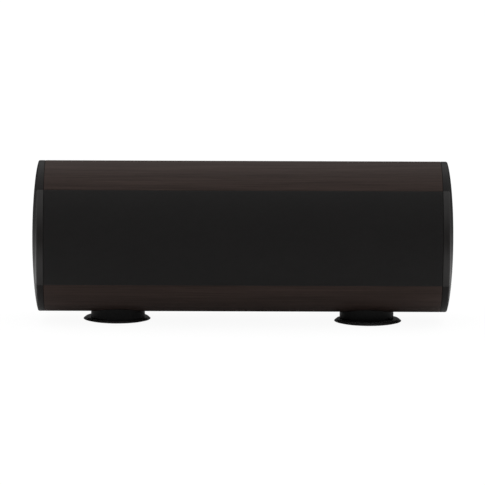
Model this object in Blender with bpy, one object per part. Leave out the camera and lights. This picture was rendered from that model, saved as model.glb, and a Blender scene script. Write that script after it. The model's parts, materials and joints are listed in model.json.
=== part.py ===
"""Barrel subwoofer: a round wood-grain cabinet lying on its side, with a lift-off cloth
grille, two woofers and two ports on a leaned-back baffle, domed end caps, an amplifier
plate on the flattened back and two swivel feet set off centre.

Metres, +Z up, front towards -Y, length along X. The origin is on the floor, under the middle.
"""
import math

import bmesh
import bpy

MM = 0.001
GAP = 0.3 * MM                      # clearance between touching pieces

# Barrel
BARREL_R = 120 * MM
WALL = 9 * MM
FLOOR_TO_BARREL = 15.4 * MM
AXIS_Z = FLOOR_TO_BARREL + BARREL_R
SHELL_HALF = 314.4 * MM             # half the length of the wood shell
CAP_RIM_END = 324.2 * MM            # where the end cap's rim turns into its dome
DOME_RISE = 10.5 * MM
CAP_WALL = 3.5 * MM
BACK_FLAT_Y = 94 * MM               # flattened back that carries the amplifier plate
ARC_STEP = math.radians(5)

# Front opening: the grille covers this arc, centred on a direction leaned back by LEAN
LEAN = math.radians(5.75)
OPENING_HALF_ANGLE = math.radians(38.55)
GRILLE_HALF_ANGLE = math.radians(38.2)
GRILLE_R = 121.5 * MM
CLOTH_THICK = 1.0 * MM
GRILLE_FRAME_INNER_R = 115.5 * MM
GRILLE_TRIM_INNER_R = 114.0 * MM
GRILLE_TRIM_PROUD = 0.5 * MM        # the trims stand this far outside the domes
RAIL_ANGLE = math.radians(34)
RIB_XS = (-180 * MM, 0.0, 180 * MM)
RIB_HALF = 4 * MM
PEG_R = 4 * MM
PEG_HEIGHTS = (-45 * MM, 45 * MM)

# Baffle, measured from the barrel's axis along the leaned-back direction
BAFFLE_FRONT = 88 * MM
BAFFLE_THICK = 12 * MM
BAFFLE_HALF_HEIGHT = 67 * MM
BAFFLE_HALF_LENGTH = 311.5 * MM

# Woofers and ports
WOOFER_X = 95 * MM
WOOFER_HOLE_R = 56 * MM
TURN_STEPS = 18
PORT_X = 235 * MM
PORT_INNER_R = 22 * MM
PORT_WALL = 2.5 * MM
PORT_LENGTH = 110 * MM
PORT_FLARE_R = 35 * MM

# Amplifier plate, seen from behind with +x to the viewer's right
PLATE_HALF = (128 * MM, 62 * MM)
PLATE_THICK = 2.5 * MM
AMP_HOLE_HALF = (118 * MM, 52 * MM)
LEVEL_KNOB_AT = (96 * MM, 30 * MM)
CROSSOVER_KNOB_AT = (56 * MM, 30 * MM)
PHASE_SWITCH_AT = (96 * MM, -6 * MM)
MODE_SWITCH_AT = (56 * MM, -6 * MM)
SOCKETS_AT = (76 * MM, -40 * MM)
LED_AT = (22 * MM, 44 * MM)
ROCKER_AT = (-48 * MM, -40 * MM)
INLET_AT = (-94 * MM, -40 * MM)
HEAT_SINK_AT = (-70 * MM, 20 * MM)
KNOB_R = 9 * MM
KNOB_DEPTH = 13 * MM
ROCKER_REST_TILT = math.radians(-10)

# Feet
FOOT_X = 198.5 * MM
FOOT_NECK_R = 43 * MM
FOOT_OFFSET = (1.6 * MM, -8.4 * MM)  # bolt to disc centre on the right foot; the left is its mirror
FOOT_DISC_R = 53.7 * MM             # at its sharp bottom rim
FOOT_DISC_TOP_R = 49.8 * MM
FOOT_DISC_BOTTOM = 1.0 * MM
FOOT_DISC_WEB = 2.4 * MM            # underside inside the rim, where the pad and bolt head sit
FOOT_DISC_TOP = 5.0 * MM
FOOT_PAD_R = 49.5 * MM
BOLT_R = 4 * MM
FOOT_STEPS = 28


# Scene, frames and materials

def clear_scene():
    for old in list(bpy.data.objects):
        bpy.data.objects.remove(old, do_unlink=True)


def frame_at(name, place, turn, parent=None):
    empty = bpy.data.objects.new(name, None)
    empty.location = place
    empty.rotation_euler = turn
    empty.parent = parent
    bpy.context.collection.objects.link(empty)
    return empty


def finish(name, colour, roughness, metallic=0.0):
    material = bpy.data.materials.new(name)
    material.use_nodes = True
    shader = material.node_tree.nodes["Principled BSDF"]
    shader.inputs["Base Color"].default_value = (*colour, 1.0)
    shader.inputs["Roughness"].default_value = roughness
    shader.inputs["Metallic"].default_value = metallic
    return material


# Shapes: each returns one object with a closed mesh

def solid(name, points, faces, material, parent=None):
    mesh = bpy.data.meshes.new(name)
    mesh.from_pydata(points, [], faces)
    work = bmesh.new()
    work.from_mesh(mesh)
    bmesh.ops.recalc_face_normals(work, faces=work.faces[:])
    work.to_mesh(mesh)
    work.free()
    mesh.materials.append(material)
    mesh.shade_smooth()
    mesh.set_sharp_from_angle(angle=math.radians(30))
    item = bpy.data.objects.new(name, mesh)
    item.parent = parent
    bpy.context.collection.objects.link(item)
    return item


def box(name, low, high, material, parent=None):
    """A block between two opposite corners."""
    xs, ys, zs = zip(low, high)
    points = [(x, y, z) for x in xs for y in ys for z in zs]
    faces = [(0, 1, 3, 2), (4, 6, 7, 5), (0, 4, 5, 1), (2, 3, 7, 6), (0, 2, 6, 4), (1, 5, 7, 3)]
    return solid(name, points, faces, material, parent)


def prism(name, outline, low, high, material, parent=None):
    """A flat outline in local x and y, carried along local z from low to high."""
    count = len(outline)
    points = [(x, y, low) for x, y in outline] + [(x, y, high) for x, y in outline]
    faces = [tuple(range(count)), tuple(range(count, 2 * count))]
    faces += [(i, (i + 1) % count, (i + 1) % count + count, i + count) for i in range(count)]
    return solid(name, points, faces, material, parent)


def rings_solid(name, rings, material, parent=None):
    """A body through rings of points, the last ring joined back to the first.

    A ring of one point is a pole, and is joined to its neighbour by triangles.
    """
    points = []
    starts = []
    for ring in rings:
        starts.append(len(points))
        points += ring
    faces = []
    for index, ring in enumerate(rings):
        after = (index + 1) % len(rings)
        count = max(len(ring), len(rings[after]))
        for i in range(count):
            j = (i + 1) % count
            corners = []
            corners += [starts[index]] if len(ring) == 1 else [starts[index] + i, starts[index] + j]
            if len(rings[after]) == 1:
                corners += [starts[after]]
            else:
                corners += [starts[after] + j, starts[after] + i]
            if len(corners) > 2 and count > 1:
                faces.append(tuple(corners))
    return solid(name, points, faces, material, parent)


def turned(name, profile, material, parent=None, steps=TURN_STEPS, centre=(0.0, 0.0)):
    """A closed profile of (radius, height) points turned about local z."""
    rings = []
    for radius, height in profile:
        if radius == 0:
            rings.append([(centre[0], centre[1], height)])
            continue
        ring = []
        for i in range(steps):
            angle = 2 * math.pi * i / steps
            x = centre[0] + radius * math.cos(angle)
            y = centre[1] + radius * math.sin(angle)
            ring.append((x, y, height))
        rings.append(ring)
    return rings_solid(name, rings, material, parent)


def rod(name, radius, low, high, material, parent=None, steps=TURN_STEPS, centre=(0.0, 0.0)):
    profile = [(0, low), (radius, low), (radius, high), (0, high)]
    return turned(name, profile, material, parent, steps, centre)


def arc(radius, start, end, step=ARC_STEP):
    """Points on a circle in the section plane; the angle grows from the front (-y) upwards."""
    count = max(1, round(abs(end - start) / step))
    angles = [start + (end - start) * i / count for i in range(count + 1)]
    return [(-radius * math.cos(a), radius * math.sin(a)) for a in angles]


def arc_bar(name, bar, start, end, material, parent):
    """A flat shape, given as (radius, length), carried round the barrel's axis between two angles."""
    count = len(bar)
    points = []
    for ring in zip(*(arc(radius, start, end) for radius, _ in bar)):
        points += [(x, y, length) for (x, y), (_, length) in zip(ring, bar)]
    faces = [tuple(range(count)), tuple(range(len(points) - count, len(points)))]
    for base in range(0, len(points) - count, count):
        for i in range(count):
            j = (i + 1) % count
            faces.append((base + i, base + j, base + count + j, base + count + i))
    return solid(name, points, faces, material, parent)


def shape_with(target, tool, operation="DIFFERENCE"):
    tool.hide_render = True
    tool.display_type = "WIRE"
    step = target.modifiers.new(tool.name, "BOOLEAN")
    step.operation = operation
    step.object = tool


# Cabinet

def shell_outline():
    """The C-shaped section: outer arc, flat back and inner arc, open at the front."""
    top = LEAN + OPENING_HALF_ANGLE
    bottom = 2 * math.pi + LEAN - OPENING_HALF_ANGLE
    flat = math.acos(BACK_FLAT_Y / BARREL_R)
    inner_r = BARREL_R - WALL
    inner_flat = math.acos((BACK_FLAT_Y - WALL) / inner_r)
    outline = arc(BARREL_R, top, math.pi - flat)
    outline += arc(BARREL_R, math.pi + flat, bottom)
    outline += arc(inner_r, bottom, math.pi + inner_flat)
    outline += arc(inner_r, math.pi - inner_flat, top)
    return outline


def inner_outline(back_y):
    """The room inside the shell, from behind the baffle to a flat back at back_y."""
    radius = BARREL_R - WALL - GAP
    front = BAFFLE_FRONT - BAFFLE_THICK - GAP
    half = math.acos(front / radius)
    back = math.acos(back_y / radius)
    outline = arc(radius, LEAN + half, math.pi - back)
    outline += arc(radius, math.pi + back, 2 * math.pi + LEAN - half)
    return outline


def make_shell(section, wood, floor):
    shell = prism("cabinet_shell", shell_outline(), -SHELL_HALF, SHELL_HALF, wood, section)
    wide, tall = AMP_HOLE_HALF
    low = (BACK_FLAT_Y - 3 * WALL, -tall, -wide)
    high = (BACK_FLAT_Y + WALL, tall, wide)
    shape_with(shell, box("cut_amp_hole", low, high, wood, section))
    for side, x in (("left", -FOOT_X), ("right", FOOT_X)):
        top = FLOOR_TO_BARREL + 2 * WALL
        hole = rod("cut_bolt_" + side, BOLT_R + GAP, 0.0, top, wood, floor, 16, (x, 0.0))
        shape_with(shell, hole)


def make_baffle(front, board):
    low = (-BAFFLE_HALF_LENGTH, -BAFFLE_HALF_HEIGHT, BAFFLE_FRONT - BAFFLE_THICK)
    high = (BAFFLE_HALF_LENGTH, BAFFLE_HALF_HEIGHT, BAFFLE_FRONT)
    baffle = box("front_baffle", low, high, board, front)
    behind = low[2] - WALL
    ahead = high[2] + WALL
    port_hole_r = PORT_INNER_R + PORT_WALL + 2 * GAP
    for side, sign in (("left", -1), ("right", 1)):
        woofer_at = (sign * WOOFER_X, 0.0)
        port_at = (sign * PORT_X, 0.0)
        hole = rod("cut_woofer_" + side, WOOFER_HOLE_R, behind, ahead, board, front, centre=woofer_at)
        shape_with(baffle, hole)
        hole = rod("cut_port_" + side, port_hole_r, behind, ahead, board, front, centre=port_at)
        shape_with(baffle, hole)
        for height in PEG_HEIGHTS:
            name = "cut_peg_%s_%s" % (side, "top" if height > 0 else "bottom")
            at = (sign * RIB_XS[2], height)
            shape_with(baffle, rod(name, PEG_R + GAP, behind, ahead, board, front, 12, at))


def make_end_panels(section, board):
    outline = inner_outline(BACK_FLAT_Y - WALL - GAP)
    inside = BAFFLE_HALF_LENGTH - GAP - WALL
    outside = BAFFLE_HALF_LENGTH - GAP
    prism("end_panel_left", outline, -outside, -inside, board, section)
    prism("end_panel_right", outline, inside, outside, board, section)


def make_brace(section, board):
    outline = inner_outline(6 * MM)
    brace = prism("cabinet_brace", outline, -WALL / 2, WALL / 2, board, section)
    hole = rod("cut_brace", 30 * MM, -WALL, WALL, board, section, centre=(-36 * MM, 0.0))
    shape_with(brace, hole)


def make_wadding(section, wadding):
    radius = BARREL_R - WALL - 3 * MM
    outline = arc(radius, math.radians(60), math.radians(300), math.radians(12))
    outer = BAFFLE_HALF_LENGTH - WALL - 2 * GAP
    inner = outer - 28 * MM
    clip = box("cut_wadding", (80 * MM, -0.2, -0.4), (0.2, 0.2, 0.4), wadding, section)
    for side, low, high in (("left", -outer, -inner), ("right", inner, outer)):
        pad = prism("damping_pad_" + side, outline, low, high, wadding, section)
        shape_with(pad, clip)


def section_radius(angle, radius):
    """The barrel's outline radius at an angle, with the back cut flat."""
    behind = -math.cos(angle)
    if behind * radius <= BACK_FLAT_Y:
        return radius
    return BACK_FLAT_Y / behind


def dome_x(radius):
    return CAP_RIM_END + DOME_RISE * (1 - min(1.0, radius / BARREL_R) ** 2) ** 0.65


def cap_ring(sign, scale, steps, flat_x=None, inset=0.0):
    """One ring of an end cap: the barrel's section scaled about its axis, flat or on the dome."""
    ring = []
    for i in range(steps):
        angle = 2 * math.pi * i / steps
        r = section_radius(angle, BARREL_R) * scale
        x = dome_x(r) - inset if flat_x is None else flat_x
        ring.append((-r * math.cos(angle), r * math.sin(angle), sign * x))
    return ring


def make_end_caps(section, plastic):
    steps = 48
    rim_start = SHELL_HALF + GAP
    land = (BARREL_R - 14 * MM) / BARREL_R      # inner edge of the rim's flat face
    for side, sign in (("left", -1), ("right", 1)):
        rings = [cap_ring(sign, 1.0, steps, flat_x=rim_start)]
        for scale in (1.0, 0.985, 0.93, 0.8, 0.55):
            rings.append(cap_ring(sign, scale, steps))
        rings.append([(0.0, 0.0, sign * dome_x(0.0))])
        rings.append([(0.0, 0.0, sign * (dome_x(0.0) - CAP_WALL))])
        rings.append(cap_ring(sign, 0.65, steps, inset=CAP_WALL))
        rings.append(cap_ring(sign, land, steps, flat_x=CAP_RIM_END - GAP))
        rings.append(cap_ring(sign, land, steps, flat_x=rim_start))
        cap = rings_solid("end_cap_" + side, rings, plastic, section)
        clear = math.radians(0.3)
        low = LEAN - OPENING_HALF_ANGLE - clear
        high = LEAN + OPENING_HALF_ANGLE + clear
        outline = arc(GRILLE_TRIM_INNER_R - 2 * GAP, low, high) + arc(BARREL_R * 1.1, high, low)
        ends = sorted((sign * (rim_start - WALL), sign * (CAP_RIM_END + DOME_RISE)))
        shape_with(cap, prism("cut_rebate_" + side, outline, *ends, plastic, section))


# Grille

def grille_outline(inner_r, outer_r, half_angle):
    """An arc-shaped section centred on the leaned-back direction, in the barrel's section."""
    outline = arc(inner_r, LEAN - half_angle, LEAN + half_angle)
    return outline + arc(outer_r, LEAN + half_angle, LEAN - half_angle)


def make_grille(section, front, plastic, cloth):
    cloth_inner = GRILLE_R - CLOTH_THICK
    length = SHELL_HALF - 0.7 * GAP
    outline = grille_outline(cloth_inner, GRILLE_R, GRILLE_HALF_ANGLE)
    prism("grille_cloth", outline, -length, length, cloth, section)

    outline = grille_outline(GRILLE_FRAME_INNER_R, cloth_inner - GAP, GRILLE_HALF_ANGLE)
    frame = prism("grille_frame", outline, -length, length, plastic, section)
    window = grille_outline(GRILLE_FRAME_INNER_R - WALL, GRILLE_R + WALL, RAIL_ANGLE)
    edges = [-length + 2 * RIB_HALF]
    for x in RIB_XS:
        edges += [x - RIB_HALF, x + RIB_HALF]
    edges.append(length - 2 * RIB_HALF)
    for number in range(len(edges) // 2):
        name = "cut_grille_window_%d" % (number + 1)
        span = edges[2 * number:2 * number + 2]
        shape_with(frame, prism(name, window, *span, plastic, section))
    for x in (RIB_XS[0], RIB_XS[2]):
        for height in PEG_HEIGHTS:
            name = "add_peg_%s_%s" % ("right" if x > 0 else "left", "top" if height > 0 else "bottom")
            top = math.sqrt(GRILLE_FRAME_INNER_R ** 2 - height ** 2) + 2 * MM
            peg = rod(name, PEG_R, BAFFLE_FRONT - 8 * MM, top, plastic, front, 12, (x, height))
            shape_with(frame, peg, "UNION")

    # The trims close the grille's ends and wrap over the rims, following the domes
    inside = SHELL_HALF + GAP / 2
    trim = [(GRILLE_TRIM_INNER_R, inside), (GRILLE_R, inside), (GRILLE_R, CAP_RIM_END - 2.4 * MM)]
    trim += [(GRILLE_R - 0.6 * MM, CAP_RIM_END - 0.6 * MM), (GRILLE_R - 2.2 * MM, CAP_RIM_END + 0.8 * MM)]
    trim += [(GRILLE_TRIM_INNER_R, dome_x(GRILLE_TRIM_INNER_R) + GRILLE_TRIM_PROUD)]
    for side, sign in (("left", -1), ("right", 1)):
        bar = [(r, sign * x) for r, x in trim]
        low_end, high_end = LEAN - GRILLE_HALF_ANGLE, LEAN + GRILLE_HALF_ANGLE
        arc_bar("grille_trim_" + side, bar, low_end, high_end, plastic, section)


# Woofers: heights are measured forwards from the baffle's face, in millimetres here

def in_mm(profile):
    return [(r * MM, z * MM) for r, z in profile]


def make_basket(side, place, steel):
    profile = [(64, 0.3), (64, 3.2), (53, 3.2), (51, -11), (33, -28.5), (21, -28.5), (21, -30.5)]
    profile += [(34.5, -30.5), (53.5, -12.5), (54.5, 0.3)]
    basket = turned("woofer_basket_" + side, in_mm(profile), steel, place)
    spokes = 6
    for number in range(spokes):
        turn = 2 * math.pi * (number + 0.5) / spokes
        window = box("cut_window_%s_%d" % (side, number), (34 * MM, -13 * MM, -25 * MM),
                     (70 * MM, 13 * MM, -13.5 * MM), steel, place)
        window.rotation_euler = (0.0, 0.0, turn)
        shape_with(basket, window)


def make_motor(side, place, steel, ferrite):
    profile = [(14.5, -30.8), (38, -30.8), (38, -36.5), (14.5, -36.5)]
    turned("woofer_top_plate_" + side, in_mm(profile), steel, place)
    profile = [(22, -36.8), (41, -36.8), (41, -51), (22, -51)]
    turned("woofer_magnet_" + side, in_mm(profile), ferrite, place)
    profile = [(4, -30), (12.4, -30), (12.4, -51.3), (38, -51.3), (36, -57.5), (4, -57.5)]
    turned("woofer_yoke_" + side, in_mm(profile), steel, place)


def make_moving_cone(side, place, paper, cap, copper):
    profile = [(47, 2.6), (47, 3.4), (30, -6.6), (14.4, -17.4), (14.4, -18.4), (30.4, -7.6)]
    turned("woofer_cone_" + side, in_mm(profile), paper, place)
    profile = [(0, -7.2), (9, -8.4), (15, -11.4), (17.8, -14.4), (16.8, -14.4), (9, -9.2), (0, -8)]
    turned("woofer_dust_cap_" + side, in_mm(profile), cap, place)
    profile = [(13.0, -17.8), (14.0, -17.8), (14.0, -38), (13.0, -38)]
    turned("woofer_voice_coil_" + side, in_mm(profile), copper, place)


def half_roll(inner, outer, base, thick, steps=4):
    """A rubber half roll with a glued lip at each side."""
    middle = (inner + outer) / 2
    radius = (outer - inner) / 2
    over = []
    under = []
    for i in range(steps + 1):
        angle = math.pi * i / steps
        reach = math.cos(angle)
        rise = math.sin(angle)
        over.append((middle - radius * reach, base + thick + radius * rise))
        under.append((middle - (radius - thick) * reach, base + (radius - thick) * rise))
    lip_in = [(inner - 3.5, base), (inner - 3.5, base + thick)]
    lip_out = [(outer + 4, base + thick), (outer + 4, base)]
    return lip_in + over + lip_out + under[::-1]


def make_suspension(side, place, rubber, spider):
    turned("woofer_surround_" + side, in_mm(half_roll(47.6, 56.0, 3.7, 0.7)), rubber, place)
    waves = 3
    radii = [14.4 + 21.4 * i / (2 * waves) for i in range(2 * waves + 1)]
    upper = [(r, -22.6 + (0.9 if i % 2 else -0.9)) for i, r in enumerate(radii)]
    lower = [(r, z - 0.6) for r, z in reversed(upper)]
    turned("woofer_spider_" + side, in_mm(upper + lower), spider, place)
    profile = [(57.4, 4.8), (63.6, 4.8), (63.6, 5.6), (62.6, 6.2), (58.4, 6.2), (57.4, 5.6)]
    turned("woofer_gasket_" + side, in_mm(profile), rubber, place)


def make_woofers(front, finishes):
    for side, sign in (("left", -1), ("right", 1)):
        place = frame_at("woofer_axis_" + side, (sign * WOOFER_X, 0.0, BAFFLE_FRONT), (0, 0, 0), front)
        make_basket(side, place, finishes["basket"])
        make_motor(side, place, finishes["zinc"], finishes["ferrite"])
        make_moving_cone(side, place, finishes["cone"], finishes["dust cap"], finishes["copper"])
        make_suspension(side, place, finishes["rubber"], finishes["spider"])


def make_ports(front, plastic):
    wall = PORT_WALL
    r = PORT_INNER_R
    for side, sign in (("left", -1), ("right", 1)):
        place = frame_at("port_axis_" + side, (sign * PORT_X, 0.0, BAFFLE_FRONT), (0, 0, 0), front)
        profile = [(r, -PORT_LENGTH), (r, -12 * MM), (r + 2 * MM, -4.5 * MM), (r + 7 * MM, 0.5 * MM)]
        profile += [(PORT_FLARE_R - 2 * MM, 3 * MM), (PORT_FLARE_R, 1.5 * MM), (PORT_FLARE_R, GAP)]
        profile += [(r + wall, GAP), (r + wall, -PORT_LENGTH)]
        turned("port_tube_" + side, profile, plastic, place, 20)


# Amplifier

def make_amp_plate(rear, metal):
    wide, tall = PLATE_HALF
    plate = box("amp_plate", (-wide, -tall, 0.0), (wide, tall, PLATE_THICK), metal, rear)
    deep = PLATE_THICK + WALL
    shaft_r = 3.4 * MM
    for name, at in (("level", LEVEL_KNOB_AT), ("crossover", CROSSOVER_KNOB_AT)):
        shape_with(plate, rod("cut_shaft_" + name, shaft_r, -WALL, deep, metal, rear, 12, at))
    shape_with(plate, rod("cut_led", 2.8 * MM, -WALL, deep, metal, rear, 12, LED_AT))
    cuts = [("phase", PHASE_SWITCH_AT, 5.4, 2.8), ("mode", MODE_SWITCH_AT, 5.4, 2.8)]
    cuts += [("sockets", SOCKETS_AT, 22.5, 8.5), ("rocker", ROCKER_AT, 13.5, 9.5)]
    cuts += [("inlet", INLET_AT, 15, 11.5)]
    for name, (x, y), half_wide, half_tall in cuts:
        low = (x - half_wide * MM, y - half_tall * MM, -WALL)
        high = (x + half_wide * MM, y + half_tall * MM, deep)
        shape_with(plate, box("cut_" + name, low, high, metal, rear))


def block_at(name, at, half_wide, half_tall, low, high, material, parent):
    """A block centred on a point of the plate; its sizes are in millimetres."""
    x, y = at
    corner_a = (x - half_wide * MM, y - half_tall * MM, low * MM)
    corner_b = (x + half_wide * MM, y + half_tall * MM, high * MM)
    return box(name, corner_a, corner_b, material, parent)


def make_heat_sink(rear, alloy):
    fins = 11
    pitch = 8.6 * MM
    fin = 2.2 * MM
    base = PLATE_THICK + GAP + 3 * MM
    top = GRILLE_R - BACK_FLAT_Y - GAP
    left = HEAT_SINK_AT[0] - ((fins - 1) * pitch + fin) / 2
    outline = [(left, PLATE_THICK + GAP)]
    for number in range(fins):
        x = left + number * pitch
        outline += [] if number == 0 else [(x, base)]
        outline += [(x, top), (x + fin, top)]
        outline += [] if number == fins - 1 else [(x + fin, base)]
    outline.append((left + (fins - 1) * pitch + fin, PLATE_THICK + GAP))
    half = 33 * MM
    upright = frame_at("heat_sink_frame", (0, 0, 0), (math.radians(90), 0, 0), rear)
    prism("heat_sink", outline, -HEAT_SINK_AT[1] - half, -HEAT_SINK_AT[1] + half, alloy, upright)


def make_knobs(rear, plastic):
    base = PLATE_THICK + 0.8 * MM
    for name, (x, y) in (("level", LEVEL_KNOB_AT), ("crossover", CROSSOVER_KNOB_AT)):
        place = frame_at(name + "_knob_axis", (x, y, 0.0), (0, 0, 0), rear)
        profile = [(0, -6 * MM), (3 * MM, -6 * MM), (3 * MM, base), (KNOB_R, base)]
        profile += [(KNOB_R - 1 * MM, base + KNOB_DEPTH), (0, base + KNOB_DEPTH)]
        knob = turned(name + "_knob", profile, plastic, place, 20)
        notch = box("cut_pointer_" + name, (-0.6 * MM, 3 * MM, base + KNOB_DEPTH - 1 * MM),
                    (0.6 * MM, 12 * MM, base + KNOB_DEPTH + 1 * MM), plastic, place)
        shape_with(knob, notch)


def make_slide_switches(rear, plastic, metal):
    for name, at in (("phase", PHASE_SWITCH_AT), ("mode", MODE_SWITCH_AT)):
        block_at(name + "_switch_body", at, 8, 4.5, -9, -1, metal, rear)
        place = frame_at(name + "_switch_rest", (at[0] - 2.5 * MM, at[1], 0.0), (0, 0, 0), rear)
        block_at(name + "_switch_slider", (0, 0), 2.2, 2.2, -0.7, 6.5, plastic, place)


def make_rocker(rear, plastic):
    housing = block_at("rocker_housing", ROCKER_AT, 13, 9, -16, 4.8, plastic, rear)
    flange = block_at("add_rocker_flange", ROCKER_AT, 15.5, 11.5, 2.8, 4.8, plastic, rear)
    shape_with(housing, flange, "UNION")
    pocket = block_at("cut_rocker_pocket", ROCKER_AT, 10.5, 7.6, -8, 9, plastic, rear)
    shape_with(housing, pocket)
    pivot = frame_at("rocker_axis", (*ROCKER_AT, 0.0), (math.radians(90), 0, math.radians(90)), rear)
    swing = frame_at("rocker_rest", (0, 0, 0), (0, 0, ROCKER_REST_TILT), pivot)
    radius = 7.2 * MM
    lift = math.radians(62)
    # Below the pivot a round belly; above it two flats that meet in a shallow valley.
    outline = [(radius * math.sin(a), -radius * math.cos(a))
               for a in [math.radians(-100 + 20 * i) for i in range(11)]]
    outline += [(radius * math.cos(lift), radius * math.sin(lift)), (0.0, 4.6 * MM)]
    outline += [(-radius * math.cos(lift), radius * math.sin(lift))]
    prism("power_rocker", outline, -10 * MM, 10 * MM, plastic, swing)


def make_inlet(rear, plastic, pin_metal):
    inlet = block_at("mains_inlet", INLET_AT, 14.5, 11, -20, 4.8, plastic, rear)
    shape_with(inlet, block_at("add_inlet_flange", INLET_AT, 25, 14, 2.8, 4.8, plastic, rear), "UNION")
    shape_with(inlet, block_at("cut_inlet_recess", INLET_AT, 12.3, 8.4, -13, 9, plastic, rear))
    for number, (dx, dy) in enumerate(((-7, -1.5), (0, 2.5), (7, -1.5))):
        at = (INLET_AT[0] + dx * MM, INLET_AT[1] + dy * MM)
        blade = block_at("add_blade_%d" % number, at, 1, 2, -15, -2, pin_metal, rear)
        shape_with(inlet, blade, "UNION")


def make_line_sockets(rear, plastic):
    block = block_at("line_sockets", SOCKETS_AT, 22, 8, -10, 4.6, plastic, rear)
    shape_with(block, block_at("add_socket_flange", SOCKETS_AT, 26, 11, 2.8, 4.6, plastic, rear), "UNION")
    for number, dx in enumerate((-12, 12)):
        at = (SOCKETS_AT[0] + dx * MM, SOCKETS_AT[1])
        barrel = rod("add_barrel_%d" % number, 4.1 * MM, 3 * MM, 12.5 * MM, plastic, rear, 16, at)
        shape_with(block, barrel, "UNION")
        hole = rod("cut_barrel_%d" % number, 1.7 * MM, 3 * MM, 14 * MM, plastic, rear, 10, at)
        shape_with(block, hole)


def make_led(rear, lens):
    profile = [(0, -4 * MM), (2.5 * MM, -4 * MM), (2.5 * MM, 3.2 * MM), (1.6 * MM, 4.4 * MM)]
    profile += [(0, 4.9 * MM)]
    turned("status_led", profile, lens, rear, 12, LED_AT)


def make_amp_inside(rear, board, copper, can):
    amp_board = block_at("amp_board", (62 * MM, 3 * MM), 50, 44, -30, -28.4, board, rear)
    capacitor = rod("add_capacitor", 11 * MM, -64 * MM, -29 * MM, can, rear, 16, (40 * MM, 14 * MM))
    shape_with(amp_board, capacitor, "UNION")
    profile = [(14 * MM, -38 * MM), (33 * MM, -38 * MM), (34.5 * MM, -36 * MM), (34.5 * MM, -9 * MM)]
    profile += [(33 * MM, -7 * MM), (14 * MM, -7 * MM)]
    turned("mains_transformer", profile, copper, rear, 24, (-62 * MM, 12 * MM))


def make_leads(rubber):
    """A twin lead from the amplifier board to each woofer's terminal, along a smooth curve."""
    for side, sign in (("left", -1), ("right", 1)):
        start = (-60 * MM if sign < 0 else -24 * MM, 63.2 * MM, AXIS_Z + 34 * MM)
        end = (sign * 95 * MM, -58 * MM, AXIS_Z + 62 * MM)
        pull_a = (start[0], 20 * MM, AXIS_Z + 40 * MM)
        pull_b = (sign * 95 * MM, 0 * MM, AXIS_Z + 82 * MM)
        count = 14
        data = bpy.data.curves.new("woofer_lead_" + side, "CURVE")
        data.dimensions = "3D"
        data.bevel_depth = 1.6 * MM
        data.bevel_resolution = 2
        data.use_fill_caps = True
        line = data.splines.new("POLY")
        line.points.add(count - 1)
        for i in range(count):
            t = i / (count - 1)
            # Cubic curve through start and end, drawn towards the two pull points
            weights = ((1 - t) ** 3, 3 * t * (1 - t) ** 2, 3 * t * t * (1 - t), t ** 3)
            corners = (start, pull_a, pull_b, end)
            place = [sum(w * c[k] for w, c in zip(weights, corners)) for k in range(3)]
            line.points[i].co = (*place, 1.0)
        data.materials.append(rubber)
        item = bpy.data.objects.new("woofer_lead_" + side, data)
        bpy.context.collection.objects.link(item)


# Feet

def make_feet(floor, gloss, rubber, steel):
    saddle_r = BARREL_R + GAP
    neck_bottom = FOOT_DISC_TOP + GAP
    for side, sign in (("left", -1), ("right", 1)):
        bolt = frame_at("foot_bolt_axis_" + side, (sign * FOOT_X, 0.0, 0.0), (0, 0, 0), floor)
        rings = []
        for radius, on_saddle in ((FOOT_NECK_R, False), (FOOT_NECK_R, True), (22 * MM, True),
                                  (BOLT_R + GAP, True), (BOLT_R + GAP, False)):
            ring = []
            for i in range(FOOT_STEPS):
                angle = 2 * math.pi * i / FOOT_STEPS
                x = radius * math.cos(angle)
                y = radius * math.sin(angle)
                top = AXIS_Z - math.sqrt(saddle_r ** 2 - y ** 2) - GAP
                ring.append((x, y, top if on_saddle else neck_bottom))
            rings.append(ring)
        rings_solid("foot_neck_" + side, rings, gloss, bolt)

        centre = (sign * FOOT_OFFSET[0], sign * FOOT_OFFSET[1])
        rim_inside = FOOT_PAD_R + 1.2 * MM
        profile = [(0, FOOT_DISC_WEB), (rim_inside, FOOT_DISC_WEB), (rim_inside + 0.6 * MM, FOOT_DISC_BOTTOM)]
        profile += [(FOOT_DISC_R - 0.6 * MM, FOOT_DISC_BOTTOM), (FOOT_DISC_R, FOOT_DISC_BOTTOM + 0.6 * MM)]
        profile += [(FOOT_DISC_TOP_R, FOOT_DISC_TOP - 0.3 * MM), (FOOT_DISC_TOP_R - 0.6 * MM, FOOT_DISC_TOP)]
        profile += [(0, FOOT_DISC_TOP)]
        disc = turned("foot_disc_" + side, profile, gloss, bolt, FOOT_STEPS, centre)
        shape_with(disc, rod("cut_foot_" + side, BOLT_R + GAP, 0.0, 9 * MM, gloss, bolt, 16))
        pad_top = FOOT_DISC_WEB - GAP
        profile = [(30 * MM, 0.0), (FOOT_PAD_R, 0.0), (FOOT_PAD_R, pad_top), (30 * MM, pad_top)]
        turned("foot_pad_" + side, profile, rubber, bolt, FOOT_STEPS, centre)

        nut = FLOOR_TO_BARREL + WALL + 0.8 * MM
        head = FOOT_DISC_WEB - GAP
        profile = [(0, 0.5 * MM), (8.4 * MM, 0.5 * MM), (9 * MM, head), (BOLT_R, head)]
        profile += [(BOLT_R, nut), (8 * MM, nut), (8 * MM, nut + 6 * MM), (0, nut + 6 * MM)]
        turned("foot_bolt_" + side, profile, steel, bolt, 16)


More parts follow.
